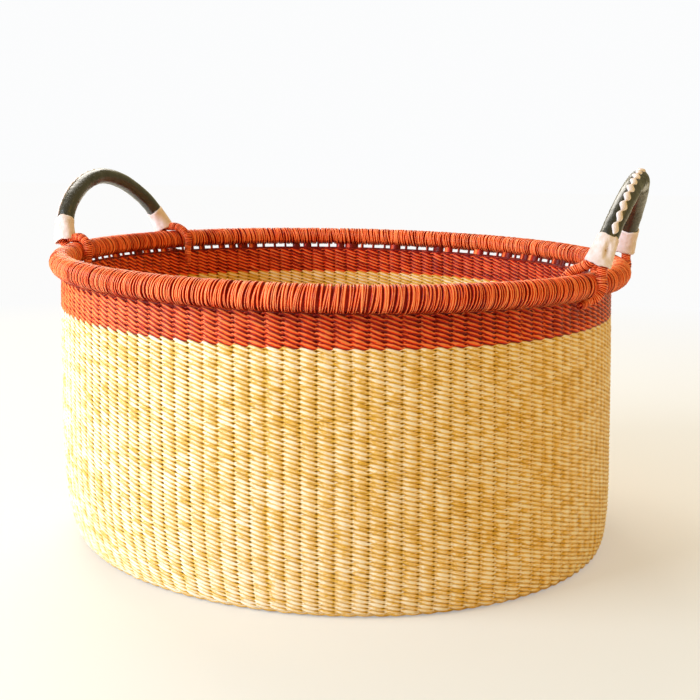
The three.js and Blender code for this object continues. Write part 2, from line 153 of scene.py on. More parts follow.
class Graph:
    """A node tree under construction."""

    def __init__(self, tree: bpy.types.NodeTree) -> None:
        """Starts on a tree."""
        self.tree = tree

    def add(self, kind: str, inputs: Mapping | None = None, **settings: object) -> bpy.types.Node:
        """Adds one node.

        Args:
            kind: the node's type.
            inputs: values or sockets for its inputs, by name or number.
            settings: the node's own properties.

        Returns:
            The new node.
        """
        node = self.tree.nodes.new(kind)
        for name, value in settings.items():
            setattr(node, name, value)
        for key, value in (inputs or {}).items():
            self.feed(node.inputs[key], value)
        return node

    def feed(self, socket: bpy.types.NodeSocket, value: object) -> None:
        """Links a value to an input, or sets the input's own value.

        Args:
            socket: the input.
            value: a value, another node's output, or plain numbers.
        """
        source = value.socket if isinstance(value, Value) else value
        if isinstance(source, bpy.types.NodeSocket):
            self.tree.links.new(source, socket)
        else:
            socket.default_value = source

    def out(self, node: bpy.types.Node, key: str | int = 0) -> Value:
        """One output of a node as a value."""
        return Value(self, node.outputs[key])

    def math(self, name: str, *values: Number) -> Value:
        """One Math node on numbers and values."""
        return self.out(self.add("ShaderNodeMath", dict(enumerate(values)), operation=name))

    def vector(self, x: Number, y: Number, z: Number) -> Value:
        """A vector from its three parts."""
        return self.out(self.add("ShaderNodeCombineXYZ", {0: x, 1: y, 2: z}))

    def noise(self, place: Value, scale: float, detail: float = 1.0, rough: float = 0.5) -> Value:
        """Smooth noise about zero, from -0.5 to 0.5."""
        inputs = {"Vector": place, "Scale": scale, "Detail": detail, "Roughness": rough}
        return self.out(self.add("ShaderNodeTexNoise", inputs)) - 0.5

    def chance(self, number: Value) -> Value:
        """A random share from 0 to 1 that depends on a number alone."""
        node = self.add("ShaderNodeTexWhiteNoise", {"W": number}, noise_dimensions="1D")
        return self.out(node, "Value")

    def mixed(self, share: Value, *colours: Union[Value, Colour]) -> Value:
        """A colour between two colours.

        Args:
            share: how much there is of the second.
            colours: the two colours.

        Returns:
            The mixed colour.
        """
        # The node's sockets for colours come after those for numbers and vectors
        colour_inputs, colour_output = slice(6, 8), 2
        node = self.add("ShaderNodeMix", {0: share}, data_type="RGBA", clamp_factor=True)
        for socket, colour in zip(node.inputs[colour_inputs], colours):
            self.feed(socket, colour if isinstance(colour, Value) else (*colour, 1.0))
        return self.out(node, colour_output)

    def ramp(self, value: Value, low: float, high: float, start: float = 0.0, end: float = 1.0) -> Value:
        """A value spread from one range to another, held at the ends."""
        inputs = {"Value": value, "From Min": low, "From Max": high, "To Min": start, "To Max": end}
        return self.out(self.add("ShaderNodeMapRange", inputs, clamp=True))


class GeometryGraph(Graph):
    """A Geometry Nodes tree that shapes tubes along or round a line, with named inputs."""

    def __init__(self, name: str, *sizes: str) -> None:
        """Makes the tree.

        Args:
            name: the tree's name.
            sizes: names of the inputs that stand between the geometry, and the seed and finish.
        """
        super().__init__(bpy.data.node_groups.new(name, "GeometryNodeTree"))
        face = self.tree.interface
        face.new_socket("Geometry", in_out="INPUT", socket_type="NodeSocketGeometry")
        for size in (*sizes, "Seed", "Finish"):
            kind = SOCKET_KINDS.get(size, "Float")
            face.new_socket(size, in_out="INPUT", socket_type=f"NodeSocket{kind}")
        face.new_socket("Geometry", in_out="OUTPUT", socket_type="NodeSocketGeometry")
        self.entry = self.add("NodeGroupInput")

    def __getitem__(self, name: str) -> Value:
        """A named input of the tree."""
        return self.out(self.entry, name)

    def named(self, name: str, kind: str = "FLOAT") -> Value:
        """A named attribute of the geometry."""
        return self.out(self.add("GeometryNodeInputNamedAttribute", {"Name": name}, data_type=kind))

    def store(self, geometry: Value, name: str, value: Value, kind: str = "FLOAT",
              domain: str = "POINT") -> Value:
        """Stores a named attribute on the geometry."""
        inputs = {"Geometry": geometry, "Name": name, "Value": value}
        return self.out(self.add("GeometryNodeStoreNamedAttribute", inputs, data_type=kind, domain=domain))

    def tubes(self, count: Number, steps: Number, sides: Number) -> tuple[Value, Value, Value, Value]:
        """Open sheets, one for each tube.

        Args:
            count: how many tubes.
            steps: spans along a tube.
            sides: faces round a tube.

        Returns:
            The sheets, and for their points the place along and around a tube, from 0 to 1, and
            the number of the tube.
        """
        grid = self.add("GeometryNodeMeshGrid", {"Size X": 1.0, "Size Y": 1.0,
                                                 "Vertices X": steps + 1, "Vertices Y": sides + 1})
        x, y, _ = self.out(self.add("GeometryNodeInputPosition")).parts()
        sheet = self.store(self.out(grid), "along", x + 0.5)
        sheet = self.store(sheet, "around", y + 0.5)
        sheet = self.store(sheet, "strand", self.vector(x + 0.5, y + 0.5, 0.0), "FLOAT2", "CORNER")
        points = self.out(self.add("GeometryNodeMeshLine", {"Count": count}))
        each = self.out(self.add("GeometryNodeInstanceOnPoints", {"Points": points, "Instance": sheet}))
        index = self.out(self.add("GeometryNodeInputIndex"))
        numbered = self.store(each, "tube", index, "INT", "INSTANCE")
        sheets = self.out(self.add("GeometryNodeRealizeInstances", {"Geometry": numbered}))
        return sheets, self.named("along"), self.named("around"), self.named("tube", "INT")

    def line(self) -> Value:
        """The line that the tree is given, as a curve."""
        return self.out(self.add("GeometryNodeMeshToCurve", {"Mesh": self["Geometry"]}))

    def sampled(self, key: str, at: Value) -> tuple[Value, Value, Value, Value]:
        """Samples the line that the tree is given.

        Args:
            key: "Factor" or "Length", which is how the place on the line is told.
            at: the place on the line.

        Returns:
            The position, tangent, normal and wound radius there.
        """
        inputs = {"Curves": self.line(), key: at, "Value": self.named("wound")}
        node = self.add("GeometryNodeSampleCurve", inputs, mode=key.upper(), data_type="FLOAT")
        return tuple(self.out(node, name) for name in ("Position", "Tangent", "Normal", "Value"))

    def beside(self, length: Value, out: Value, up: Number) -> tuple[Value, Value]:
        """A place beside the middle line of the weave, which lies in the plane of X and Z.

        Args:
            length: how far along the line.
            out: how far out from it.
            up: how far along its tangent from there.

        Returns:
            The radius and the level of the place.
        """
        position, tangent, _, _ = self.sampled("Length", length)
        tx, _, tz = tangent.parts()
        px, _, pz = position.parts()
        return px + tz * out + tx * up, pz - tx * out + tz * up

    def crest(self, tangent: Value) -> Value:
        """The direction in a handle's plane that is square to its line."""
        return self["Face"].vector("CROSS_PRODUCT", tangent).vector("NORMALIZE")

    def sag(self, position: Value, away: Value) -> Value:
        """How much further out a loose winding hangs, which is below and outside."""
        outside = position.vector("MULTIPLY", (1.0, 1.0, 0.0)).vector("NORMALIZE")
        return away.vector("DOT_PRODUCT", outside.vector("SUBTRACT", (0.0, 0.0, 1.0)), "Value") * self["Sag"]

    def inside(self, along: Value) -> Value:
        """One along a tube and nought at its two ends, which closes them."""
        return (along - 0.5).abs().below(0.49999)

    def round_noise(self, turn: Value, grain: float, layer: Value, detail: float = 1.0, rough: float = 0.5,
                    offset: float = 0.0) -> Value:
        """Noise that closes on itself round the hamper.

        Args:
            turn: the turn round the hamper.
            grain: how fine the noise is.
            layer: where in the noise a row or strand lies.
            detail: how many finer layers there are.
            rough: how strong these are.
            offset: moves the ring in the noise.

        Returns:
            The noise, from -0.5 to 0.5.
        """
        ring = self.vector(turn.cos() * grain + offset, turn.sin() * grain, layer)
        return self.noise(ring, 1.0, detail, rough)

    def finish(self, sheets: Value, tone: Value, place: Value) -> bpy.types.NodeTree:
        """Tints and places the sheets, closes their seams, and ends the tree.

        Args:
            sheets: the sheets.
            tone: how light each of their points is.
            place: where each of their points goes.

        Returns:
            The finished tree.
        """
        made = self.store(sheets, "tone", tone)
        ending = {"SetPosition": {"Position": place}, "MergeByDistance": {"Distance": MERGE_DISTANCE},
                  "SetShadeSmooth": {}, "RealizeInstances": {}, "SetMaterial": {"Material": self["Finish"]}}
        for kind, inputs in ending.items():
            made = self.out(self.add(f"GeometryNode{kind}", {"Geometry": made, **inputs}))
        self.add("NodeGroupOutput", {"Geometry": made})
        return self.tree


def column_turn(g: GeometryGraph, turn: Value, number: Value) -> Value:
    """Where a column of stitches stands, wider apart in front and wandering a little by hand.

    Args:
        g: the tree.
        turn: where the column would stand if all were even.
        number: the row's number.

    Returns:
        Its turn round the hamper.
    """
    grain, row_step, wander = 14.0, 0.03, 0.9
    even = turn + ((turn - g["Front"]) * 2.0).sin() * g["Spread"]
    return even + g.round_noise(even, grain, number * row_step) * g["Spread"] * wander


@cache
def twined_rows_tree() -> bpy.types.NodeTree:
    """Rows of two-strand twining round the stakes of a body of revolution.

    The input geometry is the middle line of the weave in the plane of X and Z. Each row has two
    strands that pass in front of every other stake, and cross between the stakes.

    Returns:
        The tree, with its sizes as named inputs.
    """
    g = GeometryGraph("twined_rows", "Stakes", "Steps", "Rows", "First Row", "Row Pitch", "Strand Depth",
                      "Strand Height", "Crossing Height", "Weave Depth", "Twist Height", "Twist Sway",
                      "Unevenness", "Crossing Shade", "Shade", "Spread", "Front")
    sheets, along, around, tube = g.tubes(g["Rows"] * 2.0, g["Stakes"] * g["Steps"], STRAW_SIDES)
    row = (tube * 0.5).floor()
    partner = tube - row * 2.0
    number = row + g["First Row"]
    turn = column_turn(g, along * TURN, number)

    # A slow drift of the whole row, and a quicker waver and swelling of each strand
    drift = g.round_noise(turn, 9.0, number * 0.45, 2.0)
    own = g.round_noise(turn, 22.0, number * 7.3 + partner * 3.1)
    swell = 1.0 + g.round_noise(turn, 15.0, number * 5.7 + partner * 9.7, offset=5.0) * 0.45
    length = (number + 0.5) * g["Row Pitch"] + (drift * 2.0 + own) * g["Unevenness"]

    # The strand stands out in front of one stake and lies behind the next
    phase = along * g["Stakes"] * math.pi + partner * math.pi
    front = phase.cos()
    depth = front * (1.5 - front * front * 0.5) * g["Weave Depth"]
    tightness = 1.0 - (turn - g["Front"]).sin() * g["Twist Sway"]
    climb = phase.sin().arcsine() * g["Twist Height"] * tightness * (-2.0 / math.pi)

    # It is full in the middle of a stitch and thin where it crosses its partner
    full = front.abs()
    height = (g["Crossing Height"] + (g["Strand Height"] - g["Crossing Height"]) * full) * swell
    angle = around * TURN
    out = depth + own * g["Unevenness"] * 1.2 + angle.cos() * g["Strand Depth"] * 0.5 * swell
    radius, level = g.beside(length, out, climb + angle.sin() * height * 0.5)
    place = g.vector(turn.cos() * radius, turn.sin() * radius, level)

    # Tone of the straw, of the single stitch, and the shade in the crossings
    straw = number * 3.7 + partner * 11.3 + g["Seed"]
    tone = g.round_noise(turn, 2.6, straw, 1.5, 0.7) + 0.5
    stitch = g.chance((along * g["Stakes"] * 0.5 + partner * 0.5).floor() + straw * 97.0)
    shade = (1.0 - full).power(4.0) * g["Crossing Shade"]
    return g.finish(sheets, tone * 0.5 + stitch * 0.3 + 0.1 - shade - g["Shade"], place)


@cache
def stakes_tree() -> bpy.types.NodeTree:
    """Stakes that follow the middle line of the weave, one for each column.

    Returns:
        The tree, with its sizes as named inputs.
    """
    g = GeometryGraph("stakes", "Stakes", "Steps", "Start", "End", "Width", "Width Chance", "Depth",
                      "Row Pitch", "Spread", "Front", "Shade")
    sheets, along, around, tube = g.tubes(g["Stakes"], g["Steps"], STRAW_SIDES)
    share = g.ramp((along * g["Steps"] - 1.0) / (g["Steps"] - 2.0), 0.0, 1.0)
    length = g["Start"] + (g["End"] - g["Start"]) * share
    turn = column_turn(g, tube / g["Stakes"] * TURN, length / g["Row Pitch"])
    angle = around * TURN
    thick = g.inside(along) * (0.85 + g.chance(tube + g["Seed"]) * 0.3)
    wide = 1.0 + g.ramp(g.chance(tube * 3.1 + g["Seed"]), 0.5, 0.85) * g["Width Chance"]
    aside = angle.sin() * g["Width"] * -0.5 * thick * wide
    radius, level = g.beside(length, angle.cos() * g["Depth"] * 0.5 * thick, 0.0)
    x, y = turn.cos() * radius - turn.sin() * aside, turn.sin() * radius + turn.cos() * aside
    return g.finish(sheets, g.chance(tube * 1.9 + g["Seed"]) - g["Shade"], g.vector(x, y, level))


@cache
def winding_tree() -> bpy.types.NodeTree:
    """Straws wound side by side round a curve.

    The input geometry is the line to wind round, with the wound radius as its attribute "wound".

    Returns:
        The tree, with its sizes as named inputs.
    """
    g = GeometryGraph("winding", "Turns", "Steps", "Straw Width", "Straw Depth", "Slant", "Wander", "Lift",
                      "Sag", "Ends", "Under Shade")
    sheets, along, around, tube = g.tubes(g["Turns"], g["Steps"], STRAW_SIDES)
    turn, angle = along * TURN, around * TURN
    number = tube + g["Seed"]

    # Each straw leans and bows in its own way, and neighbours drift together
    lean = g.chance(number * 1.37) - 0.5
    bow = g.chance(number * 2.71 + 5.0) - 0.5
    aslip = (g.chance(number + 0.7) - 0.5) * 0.6
    drift = g.noise(g.vector(tube * 0.11, g["Seed"], 0.0), 1.0, 2.0, 0.6)
    wander = (lean + drift * 2.5) * turn.sin() + bow * turn.cos() + aslip
    shift = wander * g["Wander"] + turn.sin() * g["Slant"]

    # A closed ring runs on past its start, and an open line holds its straws at the ends
    full = g.out(g.add("GeometryNodeCurveLength", {"Curve": g.line()}))
    step = (tube + 0.5) / g["Turns"] + shift / full
    closed = step.fract()
    held = step.at_least(0.0).at_most(1.0)
    position, tangent, normal, wound = g.sampled("Factor", closed + (held - closed) * g["Ends"])

    away = normal.toward(tangent.vector("CROSS_PRODUCT", normal), turn)
    lift = g.chance(number * 7.7 + 3.0) * g["Lift"]
    out = wound - g["Straw Depth"] * 0.5 + lift + g.sag(position, away) + angle.cos() * g["Straw Depth"] * 0.5
    aside = angle.sin() * g["Straw Width"] * 0.5 * (0.85 + g.chance(number * 3.3 + 9.0) * 0.3)
    place = position.vector("ADD", away.scaled(out)).vector("ADD", tangent.scaled(aside))

    # Tone of a stretch and of the single straw, and the shade under the roll
    zone = g.noise(g.vector(tube * 0.06, g["Seed"] + 4.0, 0.0), 1.0, 2.0, 0.6) + 0.5
    _, _, rise = away.parts()
    under = g.ramp(rise, -0.95, -0.55, 1.0, 0.0) * g["Under Shade"]
    return g.finish(sheets, zone * 0.3 + g.chance(number * 5.1 + 2.0) * 0.44 + 0.1 - under, place)


@cache
def tube_tree() -> bpy.types.NodeTree:
    """A tube round a line, with cross folds and one sewn seam.

    The input geometry is the line, with the tube's radius as its attribute "wound".

    Returns:
        The tree, with its sizes as named inputs.
    """
    g = GeometryGraph("tube", "Steps", "Sides", "Face", "Ends", "Sag", "Fold Depth", "Fold Pitch",
                      "Seam Height", "Seam Turn")
    sheets, along, around, _ = g.tubes(1, g["Steps"], g["Sides"])
    full = g.out(g.add("GeometryNodeCurveLength", {"Curve": g.line()}))
    position, tangent, _, wound = g.sampled("Factor", along)
    crest = g.crest(tangent)
    turn = (1.0 - around) * TURN
    away = crest.toward(tangent.vector("CROSS_PRODUCT", crest), turn)

    # Folds come in patches, and their crests waver
    patch_length, waver_grain, patch_grain = 9.0 * MM, 1.1, 0.45
    ring = g.vector(turn.cos(), turn.sin(), along * full / patch_length + g["Seed"])
    waver = g.noise(ring, waver_grain, 2.0)
    patch = g.ramp(g.noise(ring, patch_grain, 1.0), -0.12, 0.16)
    wave = (along * full / g["Fold Pitch"] * TURN + waver * 9.0).sin()
    fold = (0.0 - wave.abs().power(0.6)) * patch + waver * 0.9
    seam = g.ramp((turn - g["Seam Turn"]).cos(), 0.985, 1.0)
    held = 1.0 - (1.0 - g.inside(along)) * g["Ends"]
    radius = wound + fold * g["Fold Depth"] + seam * g["Seam Height"] + g.sag(position, away)
    return g.finish(sheets, waver + 0.5, position.vector("ADD", away.scaled(radius * held)))


@cache
def cuff_tree() -> bpy.types.NodeTree:
    """A short leather cuff round a line, flared at its hem, with a lapped seam and soft folds.

    The input geometry is the middle line of the handle. Lengths are measured along it, and the
    hem is at the length Hem. The sheet goes from the hem up its outside and back down its inside.

    Returns:
        The tree, with its sizes as named inputs.
    """
    g = GeometryGraph("cuff", "Steps", "Sides", "Face", "Hem", "Top", "Hem Radius", "Hem Flatness",
                      "Top Radius", "Thickness", "Lap Height", "Lap Turn", "Fold Depth", "Edge Wave")
    sheets, along, around, _ = g.tubes(1, g["Steps"], g["Sides"])
    reach = g["Top"] - g["Hem"]
    turn = (0.5 + (around - 0.5) * (reach / reach.abs())) * TURN
    up = (1.0 - along * 2.0).abs()
    low = 1.0 - up
    folds = g.noise(g.vector(turn.cos(), turn.sin(), up * 1.6 + g["Seed"] * 3.0), 1.3, 2.0)
    edge = g.noise(g.vector(turn.cos(), turn.sin(), g["Seed"] * 5.0 + (up * 0.6).floor()), 1.1, 1.0)
    position, tangent, _, _ = g.sampled("Length", g["Hem"] + reach * up + edge * g["Edge Wave"])
    away = g.crest(tangent).toward(g["Face"], turn)
    flare = low * (0.55 + low * 0.45)
    narrow = 1.0 - g["Hem Flatness"] * turn.cos() * turn.cos() * flare
    outer = g["Top Radius"] + (g["Hem Radius"] - g["Top Radius"]) * flare
    skin = g.ramp((along * TURN).sin(), -0.16, 0.16, -1.0, 0.0)

    # The lap steps up at its edge and fades round the cuff, and a pinched fold runs beside it
    lap = ((turn - g["Lap Turn"] + up * 0.35) / TURN).fract()
    step = g.ramp(lap, 0.0, 0.012) * (1.0 - g.ramp(lap, 0.0, 0.42))
    pinch = g.ramp((turn - g["Lap Turn"] + 0.33 + up * 0.5).cos(), 0.96, 1.0)
    pinch = pinch * g.ramp((up - 0.5).abs(), 0.0, 0.3, 1.0, 0.0)
    radius = outer * narrow + skin * g["Thickness"] + step * g["Lap Height"]
    radius = radius + folds * g["Fold Depth"] * 2.0 - pinch * g["Lap Height"] * 3.6
    return g.finish(sheets, folds + 0.5, position.vector("ADD", away.scaled(radius)))


@cache
def lace_tree() -> bpy.types.NodeTree:
    """A leather lace along a handle, pinched at every slit into a chain of domed lozenges.

    The input geometry is the middle line of the handle.

    Returns:
        The tree, with its sizes as named inputs.
    """
    g = GeometryGraph("lace", "Lozenges", "Steps", "Face", "Start", "End", "Bed", "Width", "Neck",
                      "Thickness", "Skew", "Cuff Turn", "Middle Turn")
    sheets, along, around, _ = g.tubes(1, g["Lozenges"] * g["Steps"], LACE_SIDES)
    at = along * g["Lozenges"]
    number, inside = at.floor(), at.fract()
    bulge = (inside * math.pi).sin().power(1.25)
    own = g.chance(number + g["Seed"])
    width = g["Neck"] + (g["Width"] * (0.88 + own * 0.24) - g["Neck"]) * bulge
    position, tangent, _, _ = g.sampled("Length", g["Start"] + (g["End"] - g["Start"]) * along)
    middle = g["Cuff Turn"] + (g["Middle Turn"] - g["Cuff Turn"]) * (along * math.pi).sin()
    angle = around * TURN
    ends = g.inside(along)
    aside = (angle.cos() * width * 0.5 + (inside * TURN).sin() * g["Skew"]) * ends
    dome = angle.sin().at_least(0.0).power(0.7)
    lift = dome * g["Thickness"] * (0.62 + bulge * 0.38) * ends
    away = g.crest(tangent).toward(g["Face"], middle + aside / g["Bed"])
    return g.finish(sheets, own, position.vector("ADD", away.scaled(g["Bed"] + lift)))


@dataclass(frozen=True)
class Finish:
    """What straw and leather share: three tones, and how the skin shines."""

    name: str
    slot: Slot
    dark: Colour
    middle: Colour
    light: Colour
    roughness: float
    coat: float = 0.0
    gloss: float = 0.5
    sheen: float = 0.0
    coat_roughness: float = 0.3
    sheen_roughness: float = 0.4
    bump_strength: float = 0.5
    bump_distance: float = 0.25 * MM

    def skin(self, g: Graph) -> tuple[Value, Value, Value]:
        """The colour, what the roughness follows, and the height of the relief."""
        raise NotImplementedError

    @cache
    def material(self) -> bpy.types.Material:
        """Builds the material, once.

        Returns:
            The material.
        """
        made = bpy.data.materials.new(self.name)
        made.use_nodes = True
        g = Graph(made.node_tree)
        shader = made.node_tree.nodes["Principled BSDF"]
        colour, polish, height = self.skin(g)
        g.feed(shader.inputs["Base Color"], colour)
        rough = g.ramp(polish, -0.4, 0.4, self.roughness + 0.12, self.roughness - 0.1)
        g.feed(shader.inputs["Roughness"], rough)
        shader.inputs["Specular IOR Level"].default_value = self.gloss
        shader.inputs["Coat Weight"].default_value = self.coat
        shader.inputs["Coat Roughness"].default_value = self.coat_roughness
        shader.inputs["Sheen Weight"].default_value = self.sheen
        shader.inputs["Sheen Roughness"].default_value = self.sheen_roughness
        relief = {"Strength": self.bump_strength, "Distance": self.bump_distance, "Height": height}
        g.feed(shader.inputs["Normal"], g.out(g.add("ShaderNodeBump", relief)))
        return made


@dataclass(frozen=True)
class StrawFinish(Finish):
    """Split grass straw: long fibres, a painted highlight along the crest, painted shade on the sides and a
    tone of its own.
    """

    fibres: float = 5.44
    stretch: float = 260.0
    # Where round the strand a painted highlight runs along its crest and painted shade lies on its sides, and
    # how strong they are
    crest: float = 0.0
    crest_edge: tuple[float, float] = (0.62, 0.98)
    painted_crest_highlight: float = 0.0
    side_edge: tuple[float, float] = (0.1, 0.75)
    painted_side_shade: float = 0.0

    def skin(self, g: Graph) -> tuple[Value, Value, Value]:
        """The skin, from the piece's "tone" and "strand" attributes.

        Args:
            g: the material's tree.

        Returns:
            The colour, what the roughness follows, and the height of the relief.
        """
        tone = g.out(g.add("ShaderNodeAttribute", attribute_name="tone"), "Fac")
        u, v, _ = g.out(g.add("ShaderNodeAttribute", attribute_name="strand"), "Vector").parts()
        place = g.out(g.add("ShaderNodeTexCoord"), "Object")
        across, above = (v * TURN).cos() * self.fibres, (v * TURN).sin() * self.fibres
        streak = g.noise(g.vector(u * self.stretch, across, above + tone * 40.0), 1.0, 2.0, 0.6)
        mottle = g.noise(place, 60.0, 2.0, 0.6)
        grain = g.noise(place, 900.0)
        # A painted highlight along the crest of each strand, broken by the streaks, and painted shade on its
        # sides
        around = ((v - self.crest + streak * 0.1) * TURN).cos().abs()
        painted_highlight = g.ramp(around, *self.crest_edge) * g.ramp(streak + mottle * 0.5, -0.3, 0.1)
        sides = g.ramp(around, *self.side_edge, 1.0, 0.0)
        level = tone + streak * 0.5 + mottle * 0.16 + grain * 0.16
        level = level + painted_highlight * self.painted_crest_highlight - sides * self.painted_side_shade
        deep = g.mixed(g.ramp(level, -0.3, 0.15), tuple(part * 0.5 for part in self.dark), self.dark)
        low = g.mixed(g.ramp(level, 0.18, 0.5), deep, self.middle)
        return g.mixed(g.ramp(level, 0.5, 0.82), low, self.light), streak, streak


@dataclass(frozen=True)
class LeatherFinish(Finish):
    """Thin leather stretched wet round a grass core, with pores, creases and worn high places."""

    coat_roughness: float = 0.25
    bump_strength: float = 0.6
    bump_distance: float = 0.3 * MM
    creases: float = 1.0
    pores: float = 0.25

    def skin(self, g: Graph) -> tuple[Value, Value, Value]:
        """The skin, on Object coordinates.

        Args:
            g: the material's tree.

        Returns:
            The colour, what the roughness follows, and the height of the relief.
        """
        place = g.out(g.add("ShaderNodeTexCoord"), "Object")
        cells = g.add("ShaderNodeTexVoronoi", {"Vector": place, "Scale": 900.0}, feature="DISTANCE_TO_EDGE")
        pore = g.ramp(g.out(cells), 0.0, 0.12)
        crease = g.noise(place, 210.0, 3.0, 0.6)
        patch = g.noise(place, 45.0, 2.0, 0.6)
        # The colour is darker in the hollows of the creases, which is painted shade, and in patches that are
        # the leather's own tone
        plain = g.mixed(g.ramp(crease + patch * 0.8, -0.32, 0.3), self.dark, self.middle)
        edges = g.out(g.add("ShaderNodeNewGeometry"), "Pointiness")
        wear = g.ramp(edges + patch * 0.05, 0.52, 0.6)
        relief = pore * self.pores + crease * self.creases
        return g.mixed(wear * 0.6, plain, self.light), crease + patch, relief


# In the straw finishes the crest values give a painted highlight along each strand, and the side values
# painted shade on its sides
STRAW = StrawFinish(
    "natural_straw", Slot.STRAW, (0.62, 0.31, 0.010), (0.90, 0.54, 0.105), (1.0, 0.88, 0.73), roughness=0.45,
    coat=0.05, gloss=0.05, sheen=0.65, crest=0.05, crest_edge=(0.84, 0.95), painted_crest_highlight=0.34,
    side_edge=(0.5, 0.84), painted_side_shade=0.24)
SHADED_STRAW = StrawFinish(
    "shaded_straw", Slot.STRAW, (0.34, 0.15, 0.003), (0.50, 0.23, 0.006), (0.66, 0.33, 0.012), roughness=0.7,
    gloss=0.1)
DYED = StrawFinish(
    "dyed_straw", Slot.DYED, (0.26, 0.002, 0.0), (0.98, 0.050, 0.0), (1.0, 0.30, 0.09), roughness=0.36,
    coat=0.12, gloss=0.1, sheen=0.2, crest=0.09, crest_edge=(0.95, 0.99), painted_crest_highlight=0.75,
    side_edge=(0.45, 0.88), painted_side_shade=0.45)
DYED_WOUND = StrawFinish(
    "dyed_winding", Slot.DYED, (0.30, 0.003, 0.0), (1.0, 0.052, 0.0), (1.0, 0.42, 0.16), roughness=0.28,
    coat=0.2, gloss=0.08, crest_edge=(0.965, 0.995), painted_crest_highlight=0.85, side_edge=(0.5, 0.94), painted_side_shade=0.36)
GRASS = StrawFinish(
    "loose_grass", Slot.BUNDLE, (0.22, 0.12, 0.05), (0.45, 0.28, 0.12), (0.62, 0.44, 0.22), roughness=0.7,
    gloss=0.25)
STAINED_GRASS = StrawFinish(
    "stained_grass", Slot.BUNDLE, (0.16, 0.004, 0.001), (0.34, 0.010, 0.002), (0.55, 0.03, 0.005),
    roughness=0.7, gloss=0.25)
BLACK = LeatherFinish(
    "black_leather", Slot.BLACK, (0.004, 0.004, 0.004), (0.011, 0.011, 0.012), (0.05, 0.05, 0.05),
    roughness=0.36, coat=0.9, creases=3.4)
CREAM = LeatherFinish(
    "cream_leather", Slot.CREAM, (0.68, 0.52, 0.46), (0.89, 0.76, 0.80), (0.95, 0.86, 0.92), roughness=0.6,
    creases=0.8)


def linked(name: str, data: bpy.types.ID) -> bpy.types.Object:
    """Adds an object to the scene.

    Args:
        name: its name.
        data: its mesh, lamp or camera.

    Returns:
        The object.
    """
    made = bpy.data.objects.new(name, data)
    bpy.context.scene.collection.objects.link(made)
    return made


def points_of(mesh: bpy.types.Mesh) -> np.ndarray:
    """The places of a mesh's points.

    Args:
        mesh: the mesh.

    Returns:
        The places, one row each.
    """
    places = np.empty(len(mesh.vertices) * 3)
    mesh.vertices.foreach_get("co", places)
    return places.reshape(-1, 3)


def measured(mesh: bpy.types.Mesh) -> tuple[int, float]:
    """Measures a mesh.

    Args:
        mesh: the mesh.

    Returns:
        Its number of triangles, and its volume in cubic centimetres.
    """
    mesh.calc_loop_triangles()
    corners = np.empty(len(mesh.loop_triangles) * 3, np.int32)
    mesh.loop_triangles.foreach_get("vertices", corners)
    a, b, c = (points_of(mesh)[corners.reshape(-1, 3)[:, k]] for k in range(3))
    return len(mesh.loop_triangles), float((a * np.cross(b, c)).sum() / 6 / 1e-6)


def along_steps(points: Sequence[Place]) -> np.ndarray:
    """Lengths along a line of points, from the first to each."""
    return np.concatenate([[0.0], np.cumsum([math.dist(a, b) for a, b in zip(points, points[1:])])])


def line_mesh(points: Iterable[Place], wound: Sequence[float] | None = None,
              closed: bool = False) -> bpy.types.Mesh:
    """Makes a mesh of edges through points.

    Args:
        points: the points.
        wound: the radius at each, for what is wound or drawn round the line.
        closed: whether the last point is joined to the first.

    Returns:
        The mesh.
    """
    points = [tuple(point) for point in points]
    edges = [(i, i + 1) for i in range(len(points) - 1)]
    if closed:
        edges.append((len(points) - 1, 0))
    mesh = bpy.data.meshes.new("line")
    mesh.from_pydata(points, edges, [])
    if wound is not None:
        layer = mesh.attributes.new("wound", "FLOAT", "POINT")
        layer.data.foreach_set("value", np.array(wound, np.float32))
    return mesh


def smooth_route(points: Sequence[Place], count: int) -> np.ndarray:
    """Points at even lengths along the centripetal Catmull-Rom curve through some points.

    Args:
        points: what the curve goes through.
        count: how many points to make.

    Returns:
        The points, one row each.
    """
    steps_in_span = 24
    knots = [np.array(p, float) for p in points]
    knots = [2 * knots[0] - knots[1], *knots, 2 * knots[-1] - knots[-2]]
    dense = []
    for a, b, c, d in zip(knots, knots[1:], knots[2:], knots[3:]):
        first, second, third = (math.sqrt(np.linalg.norm(q - p)) for p, q in ((a, b), (b, c), (c, d)))
        start = ((b - a) / first - (c - a) / (first + second) + (c - b) / second) * second
        end = ((c - b) / second - (d - b) / (second + third) + (d - c) / third) * second
        for t in np.linspace(0, 1, steps_in_span, endpoint=False):
            dense.append((2 * t ** 3 - 3 * t ** 2 + 1) * b + (t ** 3 - 2 * t ** 2 + t) * start
                         + (3 * t ** 2 - 2 * t ** 3) * c + (t ** 3 - t ** 2) * end)
    dense = np.array([*dense, knots[-2]])
    lengths = along_steps(dense)
    even = np.linspace(0, lengths[-1], count)
    return np.stack([np.interp(even, lengths, dense[:, k]) for k in range(3)], 1)


